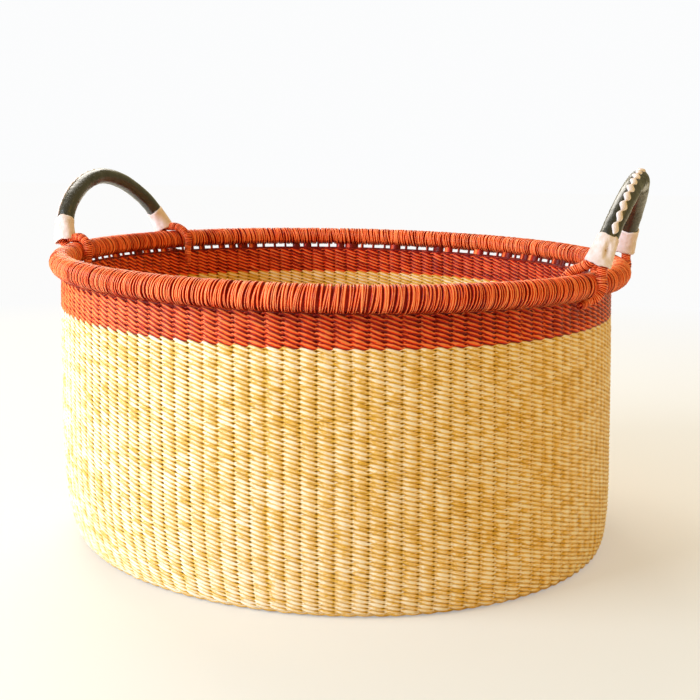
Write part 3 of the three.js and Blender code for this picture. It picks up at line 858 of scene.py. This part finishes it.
@dataclass
class Hamper:
    """Sizes that the sub-assemblies share, and how every piece is made and dressed."""

    rim_radius: float = 250 * MM
    rim_height: float = 245 * MM
    roll_radius: float = 9.3 * MM
    wall_radius: float = 240 * MM
    weave_thickness: float = 7 * MM
    stakes: int = 126
    front: float = -67.1 * DEGREE
    rim_lift: float = 0.8 * MM
    rim_tilt: float = 3.6 * MM
    rim_tilt_turn: float = 200 * DEGREE
    rim_shift: float = 1.85 * MM
    rim_shift_turn: float = 22.9 * DEGREE

    @property
    def roll_centre(self) -> tuple[float, float]:
        """Radius and height of the middle of the roll."""
        return self.rim_radius - self.roll_radius, self.rim_height - self.roll_radius

    def rim_rise(self, turn: float | np.ndarray) -> float | np.ndarray:
        """How far the rim sits above its even height, at a turn round the hamper."""
        return self.rim_lift + self.rim_tilt * np.cos(turn - self.rim_tilt_turn)

    def rim_place(self, turn: float, radius: float, height: float) -> np.ndarray:
        """A place at the rim.

        Args:
            turn: its turn round the hamper.
            radius: its radius.
            height: its height where the rim is even.

        Returns:
            The place.
        """
        return np.array([radius * math.cos(turn) + self.rim_shift * math.cos(self.rim_shift_turn),
                         radius * math.sin(turn) + self.rim_shift * math.sin(self.rim_shift_turn),
                         height + self.rim_rise(turn)])

    def grow(self, name: str, node: str, finish: Finish, tree: bpy.types.NodeTree, line: bpy.types.Mesh,
             settle: Callable[[bpy.types.Mesh], None] | None = None, **sizes: object) -> None:
        """Makes a piece with a Geometry Nodes tree, and dresses it.

        Args:
            name: the piece's name.
            node: the CAD node that it stands for.
            finish: what it is made of.
            tree: the tree.
            line: the line that the tree starts from, in the row frame.
            settle: moves the points of the finished mesh, where it is given.
            sizes: the tree's named inputs, with _ for a space. Those left out are zero.
        """
        holder = linked("holder", line)
        modifier = holder.modifiers.new("grow", "NODES")
        modifier.node_group = tree
        sockets = {item.name: item.identifier for item in tree.interface.items_tree if item.in_out == "INPUT"}
        for key, value in {**sizes, "finish": finish.material()}.items():
            modifier[sockets[key.replace("_", " ").title()]] = value
        bpy.context.view_layer.update()
        ready = holder.evaluated_get(bpy.context.evaluated_depsgraph_get())
        mesh = bpy.data.meshes.new_from_object(ready)
        bpy.data.objects.remove(holder)
        if settle:
            settle(mesh)
        mesh.name = name
        mesh.materials.clear()
        mesh.materials.append(finish.material())
        made = linked(name, mesh)
        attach(made, BODY)
        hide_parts(node)
        log.info("%s: %d triangles, %.2f cm3", name, *measured(mesh))


@dataclass
class WovenBody:
    """The twined floor, wall and dyed band with the stakes inside them."""

    hamper: Hamper
    middle_swell: float = 1.8 * MM
    shoulder_swell: float = 2.5 * MM
    shoulder_height: float = 75 * MM
    corner_width: float = 13.5 * MM
    floor_edge_width: float = 9 * MM
    floor_middle: float = 3.6 * MM
    knot_radius: float = 23 * MM
    knot_rise: float = 2.3 * MM
    knot_stakes: int = 14
    knot_hole: float = 0.2 * MM
    knot_crown_share: float = 0.6
    floor_zones: tuple[float, float, float] = (62 * MM, 125 * MM, 172 * MM)
    floor_stakes: tuple[int, int] = (32, 64)
    crown_row_top: float = 223.6 * MM
    crown_row_height: float = 1.6 * MM
    crown_seat_gap: float = 0.3 * MM
    row_pitch: float = 3.4 * MM
    band_rows: int = 7
    rows_in_piece: int = 16
    spread: float = 0.52 * DEGREE
    lean: float = 1.48 * MM
    settle_height: float = 90 * MM
    settle_depths: tuple[float, float, float] = (2.6 * MM, 4.5 * MM, 5.7 * MM)
    steps_in_stitch: int = 4
    strand_depth: float = 3.4 * MM
    strand_share: float = 1.3
    dyed_strand_share: float = 1.15
    crossing_share: float = 0.64
    weave_depth: float = 0.85 * MM
    twist: float = 1.6 * MM
    twist_sway: float = 0.22
    dyed_twist: float = 2.15 * MM
    unevenness: float = 0.48 * MM
    crossing_shade: float = 0.14
    inner_stake_width: float = 16 * MM
    inner_stake_depth: float = 2 * MM
    bare_stake_width: float = 2.8 * MM
    bare_stake_chance: float = 4.4
    bare_stake_depth: float = 2.6 * MM
    bare_stake_reach: float = 6.6 * MM
    stake_step: float = 9 * MM
    inner_stake_shade: float = 0.6
    locking_strand_height: float = 1.9 * MM
    locking_crossing_height: float = 1.2 * MM
    locking_twist: float = 0.5 * MM
    locking_overrun: float = 1 * MM
    locking_stake_below: float = 2 * MM
    locking_stake_above: float = 0.6 * MM
    crown_shade: float = 0.55
    floor_points: int = 60
    corner_points: int = 30
    wall_points: int = 40
    least_stake_steps: int = 5
    bare_stake_steps: int = 6
    locking_stake_steps: int = 4
    crown_row_pitch: float = 100 * MM

    @property
    def shoulder_radius(self) -> float:
        """Outer radius of the weave at its shoulder."""
        return self.hamper.wall_radius + self.shoulder_swell

    @property
    def crown_row_bottom(self) -> float:
        """Height of the locking row's lower edge."""
        return self.crown_row_top - self.crown_row_height

    @property
    def band_top(self) -> float:
        """Height of the dyed band's top."""
        return self.crown_row_bottom - self.crown_seat_gap

    def wall_radius(self, height: float) -> float:
        """Outer radius of the weave above the shoulder.

        Args:
            height: a height on the wall.

        Returns:
            The radius there.
        """
        share = (height - self.shoulder_height) / (self.band_top - self.shoulder_height)
        middle = self.hamper.wall_radius + self.middle_swell
        return ((1 - share) * (1 - 2 * share) * self.shoulder_radius + 4 * share * (1 - share) * middle
                + share * (2 * share - 1) * self.hamper.wall_radius)

    def middle_line(self) -> list[Place]:
        """Lays out the middle of the weave's thickness.

        Returns:
            Its points from the start knot's edge to the top of the band.
        """
        half_wall = self.hamper.weave_thickness / 2
        contact = self.shoulder_radius - self.corner_width
        radii = np.linspace(self.knot_radius, contact, self.floor_points)[:-1]
        line = [(radius, 0.0, self.floor_middle) for radius in radii]
        for turn in np.linspace(0, math.pi / 2, self.corner_points):
            across, down = math.sin(turn), -math.cos(turn)
            out = Vector((self.corner_width * across, 0, self.shoulder_height * down))
            normal = Vector((across / self.corner_width, 0, down / self.shoulder_height)).normalized()
            depth = self.floor_middle + (half_wall - self.floor_middle) * across
            line.append(tuple(Vector((contact, 0, self.shoulder_height)) + out - normal * depth))
        for height in np.linspace(self.shoulder_height, self.band_top, self.wall_points)[1:]:
            line.append((self.wall_radius(height) - half_wall, 0.0, height))
        return line

    def settle(self, mesh: bpy.types.Mesh) -> None:
        """Lets the weave lean and its bottom edge sit out of round, as soft weave does.

        Args:
            mesh: a mesh of the weave, whose points are moved.
        """
        x, y, z = points_of(mesh).T
        turn = np.arctan2(y, x)
        side = turn - self.hamper.front
        low = np.clip(1 - z / self.settle_height, 0, 1) ** 2
        low = low * np.clip(np.hypot(x, y) / self.hamper.wall_radius, 0, 1)
        even, once, twice = self.settle_depths
        out = (even + once * np.sin(side) + twice * np.sin(2 * side)) * (0.5 + 0.5 * np.cos(side)) * low
        high = np.clip(z / self.hamper.rim_height, 0, 1)
        places = np.stack([x - self.lean * high + out * np.cos(turn), y + out * np.sin(turn),
                           z + self.hamper.rim_rise(turn) * high], 1)
        mesh.vertices.foreach_set("co", places.ravel())
        mesh.update()

    def twine(self, name: str, node: str, finish: Finish, line: Sequence[Place], rows: int, pitch: float,
              **changes: float) -> None:
        """Makes a piece of twined rows.

        Args:
            name: the piece's name.
            node: the CAD node that it stands for.
            finish: what the strands are made of.
            line: the middle line of the weave in the plane of X and Z.
            rows: how many rows.
            pitch: height of a row.
            changes: inputs of the tree that differ from the wall's.
        """
        sizes = {"stakes": self.hamper.stakes, "steps": self.steps_in_stitch,
                 "strand_depth": self.strand_depth, "strand_height": pitch * self.strand_share,
                 "crossing_height": pitch * self.crossing_share, "weave_depth": self.weave_depth,
                 "twist_height": self.twist, "twist_sway": self.twist_sway,
                 "unevenness": self.unevenness, "crossing_shade": self.crossing_shade}
        self.hamper.grow(name, node, finish, twined_rows_tree(), line_mesh(line), self.settle, rows=rows,
                         row_pitch=pitch, spread=self.spread, front=self.hamper.front, **{**sizes, **changes})

    def stand(self, name: str, node: str, finish: Finish, line: Sequence[Place], steps: int, end: float,
              **changes: float) -> None:
        """Makes a piece of stakes, one for each column.

        Args:
            name: the piece's name.
            node: the CAD node that it stands for.
            finish: what the stakes are made of.
            line: the middle line of the weave in the plane of X and Z.
            steps: spans along a stake.
            end: length along the line at which the stakes end.
            changes: inputs of the tree that differ from those of the hidden stakes.
        """
        sizes = {"width": self.inner_stake_width, "depth": self.inner_stake_depth,
                 "shade": self.inner_stake_shade, "row_pitch": self.crown_row_pitch, "seed": 12.0}
        self.hamper.grow(name, node, finish, stakes_tree(), line_mesh(line), self.settle,
                         stakes=self.hamper.stakes, steps=steps, end=end, spread=self.spread,
                         front=self.hamper.front, **{**sizes, **changes})

    def build(self) -> None:
        """Makes every piece of the body."""
        line = self.middle_line()
        floor_edge = self.shoulder_radius - self.corner_width - self.floor_edge_width
        start = float(floor_edge - self.knot_radius)
        total = float(along_steps(line)[-1])
        rows = round((total - start) / self.row_pitch)
        pitch = (total - start) / rows
        first = start / pitch
        self.build_floor(floor_edge)
        natural = rows - self.band_rows
        pieces = math.ceil(natural / self.rows_in_piece)
        splits = [round(i * natural / pieces) for i in range(pieces + 1)]
        for number, (low, high) in enumerate(zip(splits, splits[1:]), 1):
            self.twine(f"wall_weave_{number}", "wall_weave", STRAW, line, high - low, pitch,
                       first_row=first + low, seed=1.0)
        self.twine("dyed_band_first_row", "dyed_band", DYED, line, 1, pitch,
                   first_row=first + natural, seed=5.0)
        self.twine("dyed_band_weave", "dyed_band", DYED, line, self.band_rows - 1, pitch,
                   first_row=first + natural + 1, seed=6.0, twist_height=self.dyed_twist,
                   strand_height=pitch * self.dyed_strand_share)
        split = total - self.band_rows * pitch
        for name, node, finish, low, high in (("wall_stakes", "wall_weave", SHADED_STRAW, start, split),
                                              ("dyed_band_stakes", "dyed_band", DYED, split, total)):
            steps = max(self.least_stake_steps, round((high - low) / self.stake_step))
            self.stand(name, node, finish, line, steps, high, start=low, row_pitch=pitch, seed=9.0)
        self.build_crown(total / pitch)
        log.info("wall rows %d, pitch %.3f mm", rows, pitch / MM)

    def build_floor(self, edge: float) -> None:
        """Makes the flat bottom, whose stakes double twice on the way out, and its start knot.

        Args:
            edge: radius of the flat bottom.
        """
        radii = (self.knot_radius, *self.floor_zones, edge)
        counts = (*self.floor_stakes, self.hamper.stakes, self.hamper.stakes)
        for number, (inner, outer, stakes) in enumerate(zip(radii, radii[1:], counts), 1):
            rows = round((outer - inner) / self.row_pitch)
            line = [(inner, 0.0, self.floor_middle), (outer, 0.0, self.floor_middle)]
            self.twine(f"floor_weave_{number}", "floor_weave", STRAW, line, rows, (outer - inner) / rows,
                       stakes=stakes, seed=20.0 + number)
        top = self.floor_middle + self.knot_rise
        line = [(self.knot_hole, 0.0, top), (self.knot_radius * self.knot_crown_share, 0.0, top),
                (self.knot_radius, 0.0, self.floor_middle)]
        length = float(along_steps(line)[-1])
        rows = round(length / self.row_pitch)
        self.twine("start_knot_weave", "floor_start_knot", STRAW, line, rows, length / rows,
                   stakes=self.knot_stakes, seed=31.0)

    def build_crown(self, number: float) -> None:
        """Makes the locking row above the band and the bare stakes that lean into the roll.

        Args:
            number: how many rows there are below the locking row.
        """
        radius = self.hamper.wall_radius - self.hamper.weave_thickness / 2
        low, top = self.crown_row_bottom, self.crown_row_top
        line = [(radius, 0.0, low), (radius, 0.0, top + self.locking_overrun)]
        self.twine("locking_row", "stake_crown", DYED, line, 1, self.crown_row_height,
                   strand_height=self.locking_strand_height, crossing_height=self.locking_crossing_height,
                   twist_height=self.locking_twist, shade=self.crown_shade, seed=40.0 + number)
        centre, height = self.hamper.roll_centre
        lean = math.atan2(top - height, radius - centre)
        tip = (centre + self.bare_stake_reach * math.cos(lean), 0.0,
               height + self.bare_stake_reach * math.sin(lean))
        line = [(radius, 0.0, low), (radius, 0.0, top), tip]
        self.stand("bare_stakes", "stake_crown", DYED, line, self.bare_stake_steps,
                   float(along_steps(line)[-1]), width=self.bare_stake_width,
                   width_chance=self.bare_stake_chance, depth=self.bare_stake_depth, shade=self.crown_shade)
        line = [(radius, 0.0, low - self.locking_stake_below), (radius, 0.0, top + self.locking_stake_above)]
        self.stand("locking_row_stakes", "stake_crown", DYED, line, self.locking_stake_steps,
                   line[1][2] - line[0][2])


@dataclass
class RimRoll:
    """The grass roll wound with dyed straws."""

    hamper: Hamper
    straw_width: float = 2.1 * MM
    straw_depth: float = 1.7 * MM
    core_inset: float = 1.3 * MM
    turns: int = 860
    steps: int = 17
    slant: float = -1.3 * MM
    wander: float = 1.7 * MM
    lift: float = 0.5 * MM
    sag: float = 1.1 * MM
    front_swell: float = 0.7 * MM
    under_shade: float = 0.6
    ring_steps: int = 360
    core_sides: int = 14

    def build(self) -> None:
        """Makes the core and the winding, which is a little thicker in front."""
        radius, height = self.hamper.roll_centre
        turns = [TURN * i / self.ring_steps for i in range(self.ring_steps)]
        swells = [self.front_swell * math.cos(turn - self.hamper.front) for turn in turns]
        ring = [self.hamper.rim_place(turn, radius, height - swell) for turn, swell in zip(turns, swells)]
        wound = [self.hamper.roll_radius + swell for swell in swells]
        inner = [reach - self.core_inset for reach in wound]
        self.hamper.grow("rim_grass_core", "rim_bundle", STAINED_GRASS, tube_tree(),
                         line_mesh(ring + ring[:1], inner + inner[:1]), steps=self.ring_steps,
                         sides=self.core_sides, face=(0.0, 0.0, 1.0), sag=self.sag, seed=2.0)
        self.hamper.grow("rim_winding_straws", "rim_winding", DYED_WOUND, winding_tree(),
                         line_mesh(ring, wound, True), turns=self.turns, steps=self.steps,
                         straw_width=self.straw_width, straw_depth=self.straw_depth, slant=self.slant,
                         wander=self.wander, lift=self.lift, sag=self.sag,
                         under_shade=self.under_shade, seed=3.0)


@dataclass
class Arch:
    """Middle line of a handle: a leaning arch that stands on the foot circle."""

    azimuth: float
    height: float
    foot_drop: float
    spread: float = 162 * MM
    power: float = 1.8
    lean: float = 18 * DEGREE
    foot_radius: float = 249 * MM
    base_height: float = 242.6 * MM
    fineness: int = 1201
    face: np.ndarray = field(init=False)
    points: np.ndarray = field(init=False)
    lengths: np.ndarray = field(init=False)
    length: float = field(init=False)

    def __post_init__(self) -> None:
        """Lays out the arch and measures it."""
        up = np.array([0.0, 0.0, 1.0])
        out = np.array([math.cos(self.azimuth), math.sin(self.azimuth), 0.0])
        across = np.array([-math.sin(self.azimuth), math.cos(self.azimuth), 0.0])
        rise = up * math.cos(self.lean) + out * math.sin(self.lean)
        self.face = np.cross(across, rise)
        base = out * math.sqrt(self.foot_radius ** 2 - (self.spread / 2) ** 2) + up * self.base_height
        turn = np.linspace(0, math.pi, self.fineness)
        span = -np.sign(np.cos(turn)) * np.abs(np.cos(turn)) ** (2 / self.power) * self.spread / 2
        climb = np.abs(np.sin(turn)) ** (2 / self.power) * self.height
        drop = (span / self.spread + 0.5) * self.foot_drop
        self.points = base + span[:, None] * across + climb[:, None] * rise - drop[:, None] * up
        self.lengths = along_steps(self.points)
        self.length = float(self.lengths[-1])

    def at(self, length: float) -> np.ndarray:
        """The place at a length from the first foot."""
        return np.array([np.interp(length, self.lengths, self.points[:, k]) for k in range(3)])

    def line(self, low: float, high: float, count: int, radius: float = 0.0) -> bpy.types.Mesh:
        """A line of some points along part of the arch, for a tube of one radius."""
        return line_mesh([self.at(x) for x in np.linspace(low, high, count)], [radius] * count)


@dataclass
class Handle:
    """A leather-covered grass arch on wound legs that straddle the roll."""

    hamper: Hamper
    name: str
    azimuth: float
    height: float
    lace_cuff_turn: float
    lace_middle_turn: float
    seed: float
    foot_drop: float = 0.0
    bundle_radius: float = 5.5 * MM
    sleeve_radius: float = 7.6 * MM
    sleeve_tuck: float = 3 * MM
    sleeve_fold: float = 0.6 * MM
    sleeve_fold_pitch: float = 3.4 * MM
    sleeve_seam: float = 0.5 * MM
    sleeve_seam_turn: float = 200 * DEGREE
    lozenges: int = 18
    lace_width: float = 6.0 * MM
    lace_neck: float = 1.5 * MM
    lace_thickness: float = 1.8 * MM
    lace_skew: float = 0.55 * MM
    lace_gap: float = 0.6 * MM
    lace_sink: float = 0.2 * MM
    cuff_start: float = 9 * MM
    cuff_length: float = 21 * MM
    cuff_drop: float = 2 * MM
    cuff_top_radius: float = 8.0 * MM
    cuff_thickness: float = 1.5 * MM
    cuff_lap: float = 1.0 * MM
    cuff_lap_turn: float = 60 * DEGREE
    cuff_fold: float = 0.8 * MM
    cuff_edge_wave: float = 2.8 * MM
    hem_radius: float = 10.4 * MM
    hem_flatness: float = 0.16
    split_length: float = 6.5 * MM
    leg_radius: float = 4.1 * MM
    leg_tip_radius: float = 2.8 * MM
    leg_press: float = 0.25 * MM
    leg_core_inset: float = 0.9 * MM
    leg_straw_pitch: float = 1.45 * MM
    leg_straw_width: float = 1.75 * MM
    leg_straw_depth: float = 1.1 * MM
    leg_slant: float = 0.7 * MM
    leg_wander: float = 0.4 * MM
    leg_lift: float = 0.15 * MM
    leg_under_shade: float = 0.25
    inner_travel: float = 12 * MM
    outer_travel: float = 16 * MM
    inner_tail: float = 16 * MM
    inner_tail_top: float = 221.7 * MM
    outer_tail_drop: float = 1.5 * MM
    core_points: int = 200
    sleeve_points: int = 300
    arch_points: int = 400
    route_points: int = 90
    arch: Arch = field(init=False)

    def __post_init__(self) -> None:
        """Lays out the handle's middle line."""
        self.arch = Arch(self.azimuth, self.height, self.foot_drop)

    def build(self) -> None:
        """Makes every piece of the handle."""
        self.build_grip()
        feet = ("front", "back") if math.cos(self.azimuth) > 0 else ("back", "front")
        for foot, away in zip(feet, (-1, 1)):
            self.build_foot(foot, away)

    def build_grip(self) -> None:
        """Makes the grass core, the black leather round it and the lace along it."""
        arch, face = self.arch, tuple(self.arch.face)
        low = self.cuff_start + self.split_length
        self.hamper.grow(f"{self.name}_grass_core", f"{self.name}_handle_bundle", GRASS, tube_tree(),
                         arch.line(low, arch.length - low, self.core_points, self.bundle_radius),
                         steps=120, sides=14, face=face, ends=1.0, seed=self.seed)
        low = self.cuff_start + self.cuff_length - self.sleeve_tuck
        self.hamper.grow(f"{self.name}_black_leather", f"{self.name}_handle_sleeve", BLACK, tube_tree(),
                         arch.line(low, arch.length - low, self.sleeve_points, self.sleeve_radius),
                         steps=280, sides=28, face=face, ends=1.0, fold_depth=self.sleeve_fold,
                         fold_pitch=self.sleeve_fold_pitch, seam_height=self.sleeve_seam,
                         seam_turn=self.sleeve_seam_turn, seed=self.seed)
        low = self.cuff_start + self.cuff_length + self.lace_gap
        self.hamper.grow(f"{self.name}_cream_lace", f"{self.name}_handle_lace", CREAM, lace_tree(),
                         arch.line(0.0, arch.length, self.arch_points), lozenges=self.lozenges, steps=14,
                         face=face, start=low, end=arch.length - low,
                         bed=self.sleeve_radius - self.lace_sink, width=self.lace_width,
                         neck=self.lace_neck, thickness=self.lace_thickness, skew=self.lace_skew,
                         cuff_turn=self.lace_cuff_turn, middle_turn=self.lace_middle_turn, seed=self.seed)

    def build_foot(self, foot: str, away: int) -> None:
        """Makes a cuff and the two wound legs under it.

        Args:
            foot: which end of the handle this is.
            away: side of the handle to which the legs' tails run, as a sign.
        """
        arch, label = self.arch, f"{self.name}_{foot}"

        def length_at(x: float) -> float:
            """A length from this foot as a length from the first foot."""
            return self.cuff_start + x if away < 0 else arch.length - self.cuff_start - x

        self.hamper.grow(f"{label}_cream_cuff", f"{label}_cuff", CREAM, cuff_tree(),
                         arch.line(0.0, arch.length, self.arch_points), steps=72, sides=64,
                         face=tuple(arch.face), hem=length_at(-self.cuff_drop),
                         top=length_at(self.cuff_length), hem_radius=self.hem_radius,
                         hem_flatness=self.hem_flatness, top_radius=self.cuff_top_radius,
                         thickness=self.cuff_thickness, lap_height=self.cuff_lap,
                         lap_turn=self.cuff_lap_turn, fold_depth=self.cuff_fold,
                         edge_wave=self.cuff_edge_wave, seed=self.seed + away * 0.37)
        hem = arch.at(length_at(0.0))
        foot_turn = math.atan2(hem[1], hem[0])
        tops = [arch.at(length_at(x)) for x in (self.split_length, self.split_length / 2, 0.0)]
        for side, kind, route in ((1, "outer", self.outer_route(foot_turn, away)),
                                  (-1, "inner", self.inner_route(foot_turn, away))):
            starts = [top + arch.face * side * self.leg_radius for top in tops]
            self.build_leg(f"{label}_leg_{kind}", smooth_route([*starts, *route], self.route_points), side)

    def orbit(self, start: float, travel: float, shares: Sequence[tuple[float, float]]) -> list[np.ndarray]:
        """Places round the roll for a leg that lies on it.

        Args:
            start: turn round the hamper at the foot.
            travel: how far along the rim the leg goes.
            shares: pairs of the half turn round the roll and the share of the travel.

        Returns:
            The places.
        """
        centre, height = self.hamper.roll_centre
        reach = self.hamper.roll_radius + self.leg_radius - self.leg_press
        return [self.hamper.rim_place(start + travel * share / centre,
                                      centre + reach * math.cos(half * math.pi),
                                      height + reach * math.sin(half * math.pi)) for half, share in shares]

    def outer_route(self, foot_turn: float, away: int) -> list[np.ndarray]:
        """Down the outside of the roll, then away along the wall beneath it.

        Args:
            foot_turn: turn round the hamper at the foot.
            away: side of the handle to which the tail runs, as a sign.

        Returns:
            The places that the leg goes through.
        """
        centre, height = self.hamper.roll_centre
        travel = self.outer_travel * away
        shares = ((0.13, 0), (0, 0), (-0.13, 0.04), (-0.27, 0.16), (-0.4, 0.34))
        radius = self.hamper.wall_radius + self.leg_radius
        top = height - self.hamper.roll_radius - self.leg_radius
        tail = [self.hamper.rim_place(foot_turn + travel * share / centre, radius,
                                      top - self.outer_tail_drop * share) for share in (0.5, 0.75, 1)]
        return [*self.orbit(foot_turn, travel, shares), *tail]

    def inner_route(self, foot_turn: float, away: int) -> list[np.ndarray]:
        """Over the roll, down its inside and along the inner face of the band.

        Args:
            foot_turn: turn round the hamper at the foot.
            away: side of the handle to which the tail runs, as a sign.

        Returns:
            The places that the leg goes through.
        """
        centre, _ = self.hamper.roll_centre
        travel = self.inner_travel * away
        shares = ((0.58, 0.3), (0.69, 0.52), (0.8, 0.74), (0.91, 0.9), (1.02, 0.98))
        radius = self.hamper.wall_radius - self.hamper.weave_thickness - self.leg_radius
        top = self.inner_tail_top + self.leg_radius
        turn = foot_turn + travel / centre
        tail = [self.hamper.rim_place(turn, radius, top - self.inner_tail * share) for share in (0, 0.5, 1)]
        return [*self.orbit(foot_turn, travel, shares), *tail]

    def build_leg(self, label: str, route: np.ndarray, side: int) -> None:
        """Makes a leg's grass core and the straws wound round it.

        Args:
            label: the leg's name.
            route: the places that the leg goes through.
            side: side of the handle's plane on which the leg starts, as a sign.
        """
        share = np.linspace(0, 1, len(route))
        wound = self.leg_radius - (self.leg_radius - self.leg_tip_radius) * share ** 3
        self.hamper.grow(f"{label}_core", label, DYED, tube_tree(),
                         line_mesh(route, wound - self.leg_core_inset), steps=60, sides=10,
                         face=tuple(self.arch.face), ends=1.0, seed=self.seed)
        turns = round(float(along_steps(route)[-1]) / self.leg_straw_pitch)
        self.hamper.grow(f"{label}_straws", label, DYED_WOUND, winding_tree(), line_mesh(route, wound),
                         turns=turns, steps=12, straw_width=self.leg_straw_width,
                         straw_depth=self.leg_straw_depth, slant=self.leg_slant * side,
                         wander=self.leg_wander, lift=self.leg_lift, ends=1.0,
                         under_shade=self.leg_under_shade, seed=self.seed + side * 40.0)


@dataclass(frozen=True)
class Lamp:
    """A square soft lamp, placed by how far it stands right of, beyond and above the hamper."""

    name: str
    right: float
    ahead: float
    up: float
    size: float
    power: float
    colour: Colour


WINDOW = Lamp("window", right=-1.75, ahead=-0.75, up=0.95, size=1.3, power=57.0, colour=(0.74, 0.87, 1.0))
BACK = Lamp("back", right=-0.5, ahead=1.5, up=1.7, size=1.5, power=34.0, colour=(1.0, 0.95, 0.88))
ROOM = Lamp("room_lamp", right=1.6, ahead=-1.1, up=1.6, size=1.8, power=14.0, colour=(1.0, 0.60, 0.10))


@dataclass
class Studio:
    """Pale floor, soft lamps and the camera of the reference view."""

    camera_place: Place = (0.4090, -0.9682, 0.347)
    heading: float = 114.64 * DEGREE
    pitch: float = -7.98 * DEGREE
    lens: float = 61.05
    sensor: float = 36.0
    shift: tuple[float, float] = (0.0714, -0.0714)
    sight: tuple[float, float] = (0.05, 50.0)
    lamps: tuple[Lamp, ...] = (WINDOW, BACK, ROOM)
    aim: Place = (0.0, 0.0, 0.12)
    sky_strength: float = 0.46
    sky_light: Colour = (1.0, 0.84, 0.40)
    sky_seen: Colour = (0.97, 0.975, 0.98)
    floor_half: float = 6.0
    floor_colour: Colour = (0.86, 0.83, 0.78)
    floor_roughness: float = 0.7
    floor_seen: Colour = (0.97, 0.97, 0.965)
    fade_from: float = 0.3
    fade_to: float = 1.5
    least_fade: float = 0.35

    def aimed(self, name: str, data: bpy.types.ID, place: Place, ahead: Vector) -> bpy.types.Object:
        """Puts a camera or lamp in its place.

        Args:
            name: its name.
            data: what it is.
            place: where it stands.
            ahead: which way it looks.

        Returns:
            The object.
        """
        made = linked(name, data)
        made.location = place
        made.rotation_mode = "QUATERNION"
        made.rotation_quaternion = ahead.to_track_quat("-Z", "Y")
        return made

    def camera(self) -> None:
        """Makes the camera."""
        data = bpy.data.cameras.new("camera")
        data.sensor_width = self.sensor
        data.lens = self.lens
        data.shift_x, data.shift_y = self.shift
        data.clip_start, data.clip_end = self.sight
        ahead = Vector((math.cos(self.heading) * math.cos(self.pitch),
                        math.sin(self.heading) * math.cos(self.pitch), math.sin(self.pitch)))
        bpy.context.scene.camera = self.aimed("camera", data, self.camera_place, ahead)

    def light(self, lamp: Lamp) -> None:
        """Adds a lamp.

        Args:
            lamp: which one.
        """
        right = Vector((math.cos(self.heading - math.pi / 2), math.sin(self.heading - math.pi / 2), 0))
        ahead = Vector((math.cos(self.heading), math.sin(self.heading), 0))
        place = right * lamp.right + ahead * lamp.ahead + Vector((0, 0, 1)) * lamp.up
        data = bpy.data.lights.new(lamp.name, "AREA")
        data.shape = "SQUARE"
        data.size = lamp.size
        data.energy = lamp.power
        data.color = lamp.colour
        self.aimed(lamp.name, data, place, Vector(self.aim) - place)

    def world(self) -> None:
        """Makes an even sky, warm as light and near white where the camera sees it."""
        world = bpy.data.worlds.new("studio")
        world.use_nodes = True
        bpy.context.scene.world = world
        g = Graph(world.node_tree)
        background = world.node_tree.nodes["Background"]
        seen = seen_directly(g)
        g.feed(background.inputs["Strength"], g.ramp(seen, 0.0, 1.0, self.sky_strength, 1.0))
        g.feed(background.inputs["Color"], g.mixed(seen, self.sky_light, self.sky_seen))

    def floor(self) -> None:
        """Makes a plain pale floor that keeps the shadow and fades into the sky further off."""
        mesh = bpy.data.meshes.new("studio_floor")
        half = self.floor_half
        mesh.from_pydata([(-half, -half, 0), (half, -half, 0), (half, half, 0), (-half, half, 0)], [],
                         [(0, 1, 2, 3)])
        made = linked("studio_floor", mesh)
        paint = bpy.data.materials.new("studio_floor")
        paint.use_nodes = True
        g = Graph(paint.node_tree)
        shader = paint.node_tree.nodes["Principled BSDF"]
        shader.inputs["Base Color"].default_value = (*self.floor_colour, 1.0)
        shader.inputs["Roughness"].default_value = self.floor_roughness
        away = g.out(g.add("ShaderNodeTexCoord"), "Object").vector("LENGTH", key="Value")
        share = g.ramp(away, self.fade_from, self.fade_to, self.least_fade, 1.0) * seen_directly(g)
        glow = g.add("ShaderNodeEmission", {"Color": (*self.floor_seen, 1.0), "Strength": 1.0})
        mixed = g.add("ShaderNodeMixShader", {0: share, 1: shader.outputs[0], 2: glow.outputs[0]})
        g.feed(paint.node_tree.nodes["Material Output"].inputs["Surface"], g.out(mixed))
        mesh.materials.append(paint)

    def build(self) -> None:
        """Makes the floor, world and lamps."""
        bpy.context.scene.view_settings.view_transform = "Standard"
        self.floor()
        self.world()
        for lamp in self.lamps:
            self.light(lamp)


def seen_directly(g: Graph) -> Value:
    """One for rays from the camera, and for those that come through something clear."""
    path = g.add("ShaderNodeLightPath")
    return g.out(path, "Is Camera Ray").at_least(g.out(path, "Is Transmission Ray"))


def main() -> None:
    """Builds the hamper and its studio."""
    logging.basicConfig(level=logging.INFO, format="%(message)s")
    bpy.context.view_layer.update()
    studio = Studio()
    studio.camera()
    hamper = Hamper()
    WovenBody(hamper).build()
    RimRoll(hamper).build()
    Handle(hamper, "right", azimuth=3.1 * DEGREE, height=73.5 * MM, lace_cuff_turn=24 * DEGREE,
           lace_middle_turn=-8 * DEGREE, seed=11.0, foot_drop=3.5 * MM).build()
    Handle(hamper, "left", azimuth=math.pi - 3.1 * DEGREE, height=66.5 * MM, lace_cuff_turn=42 * DEGREE,
           lace_middle_turn=34 * DEGREE, seed=23.0).build()
    studio.build()


if __name__ == "__main__":
    main()
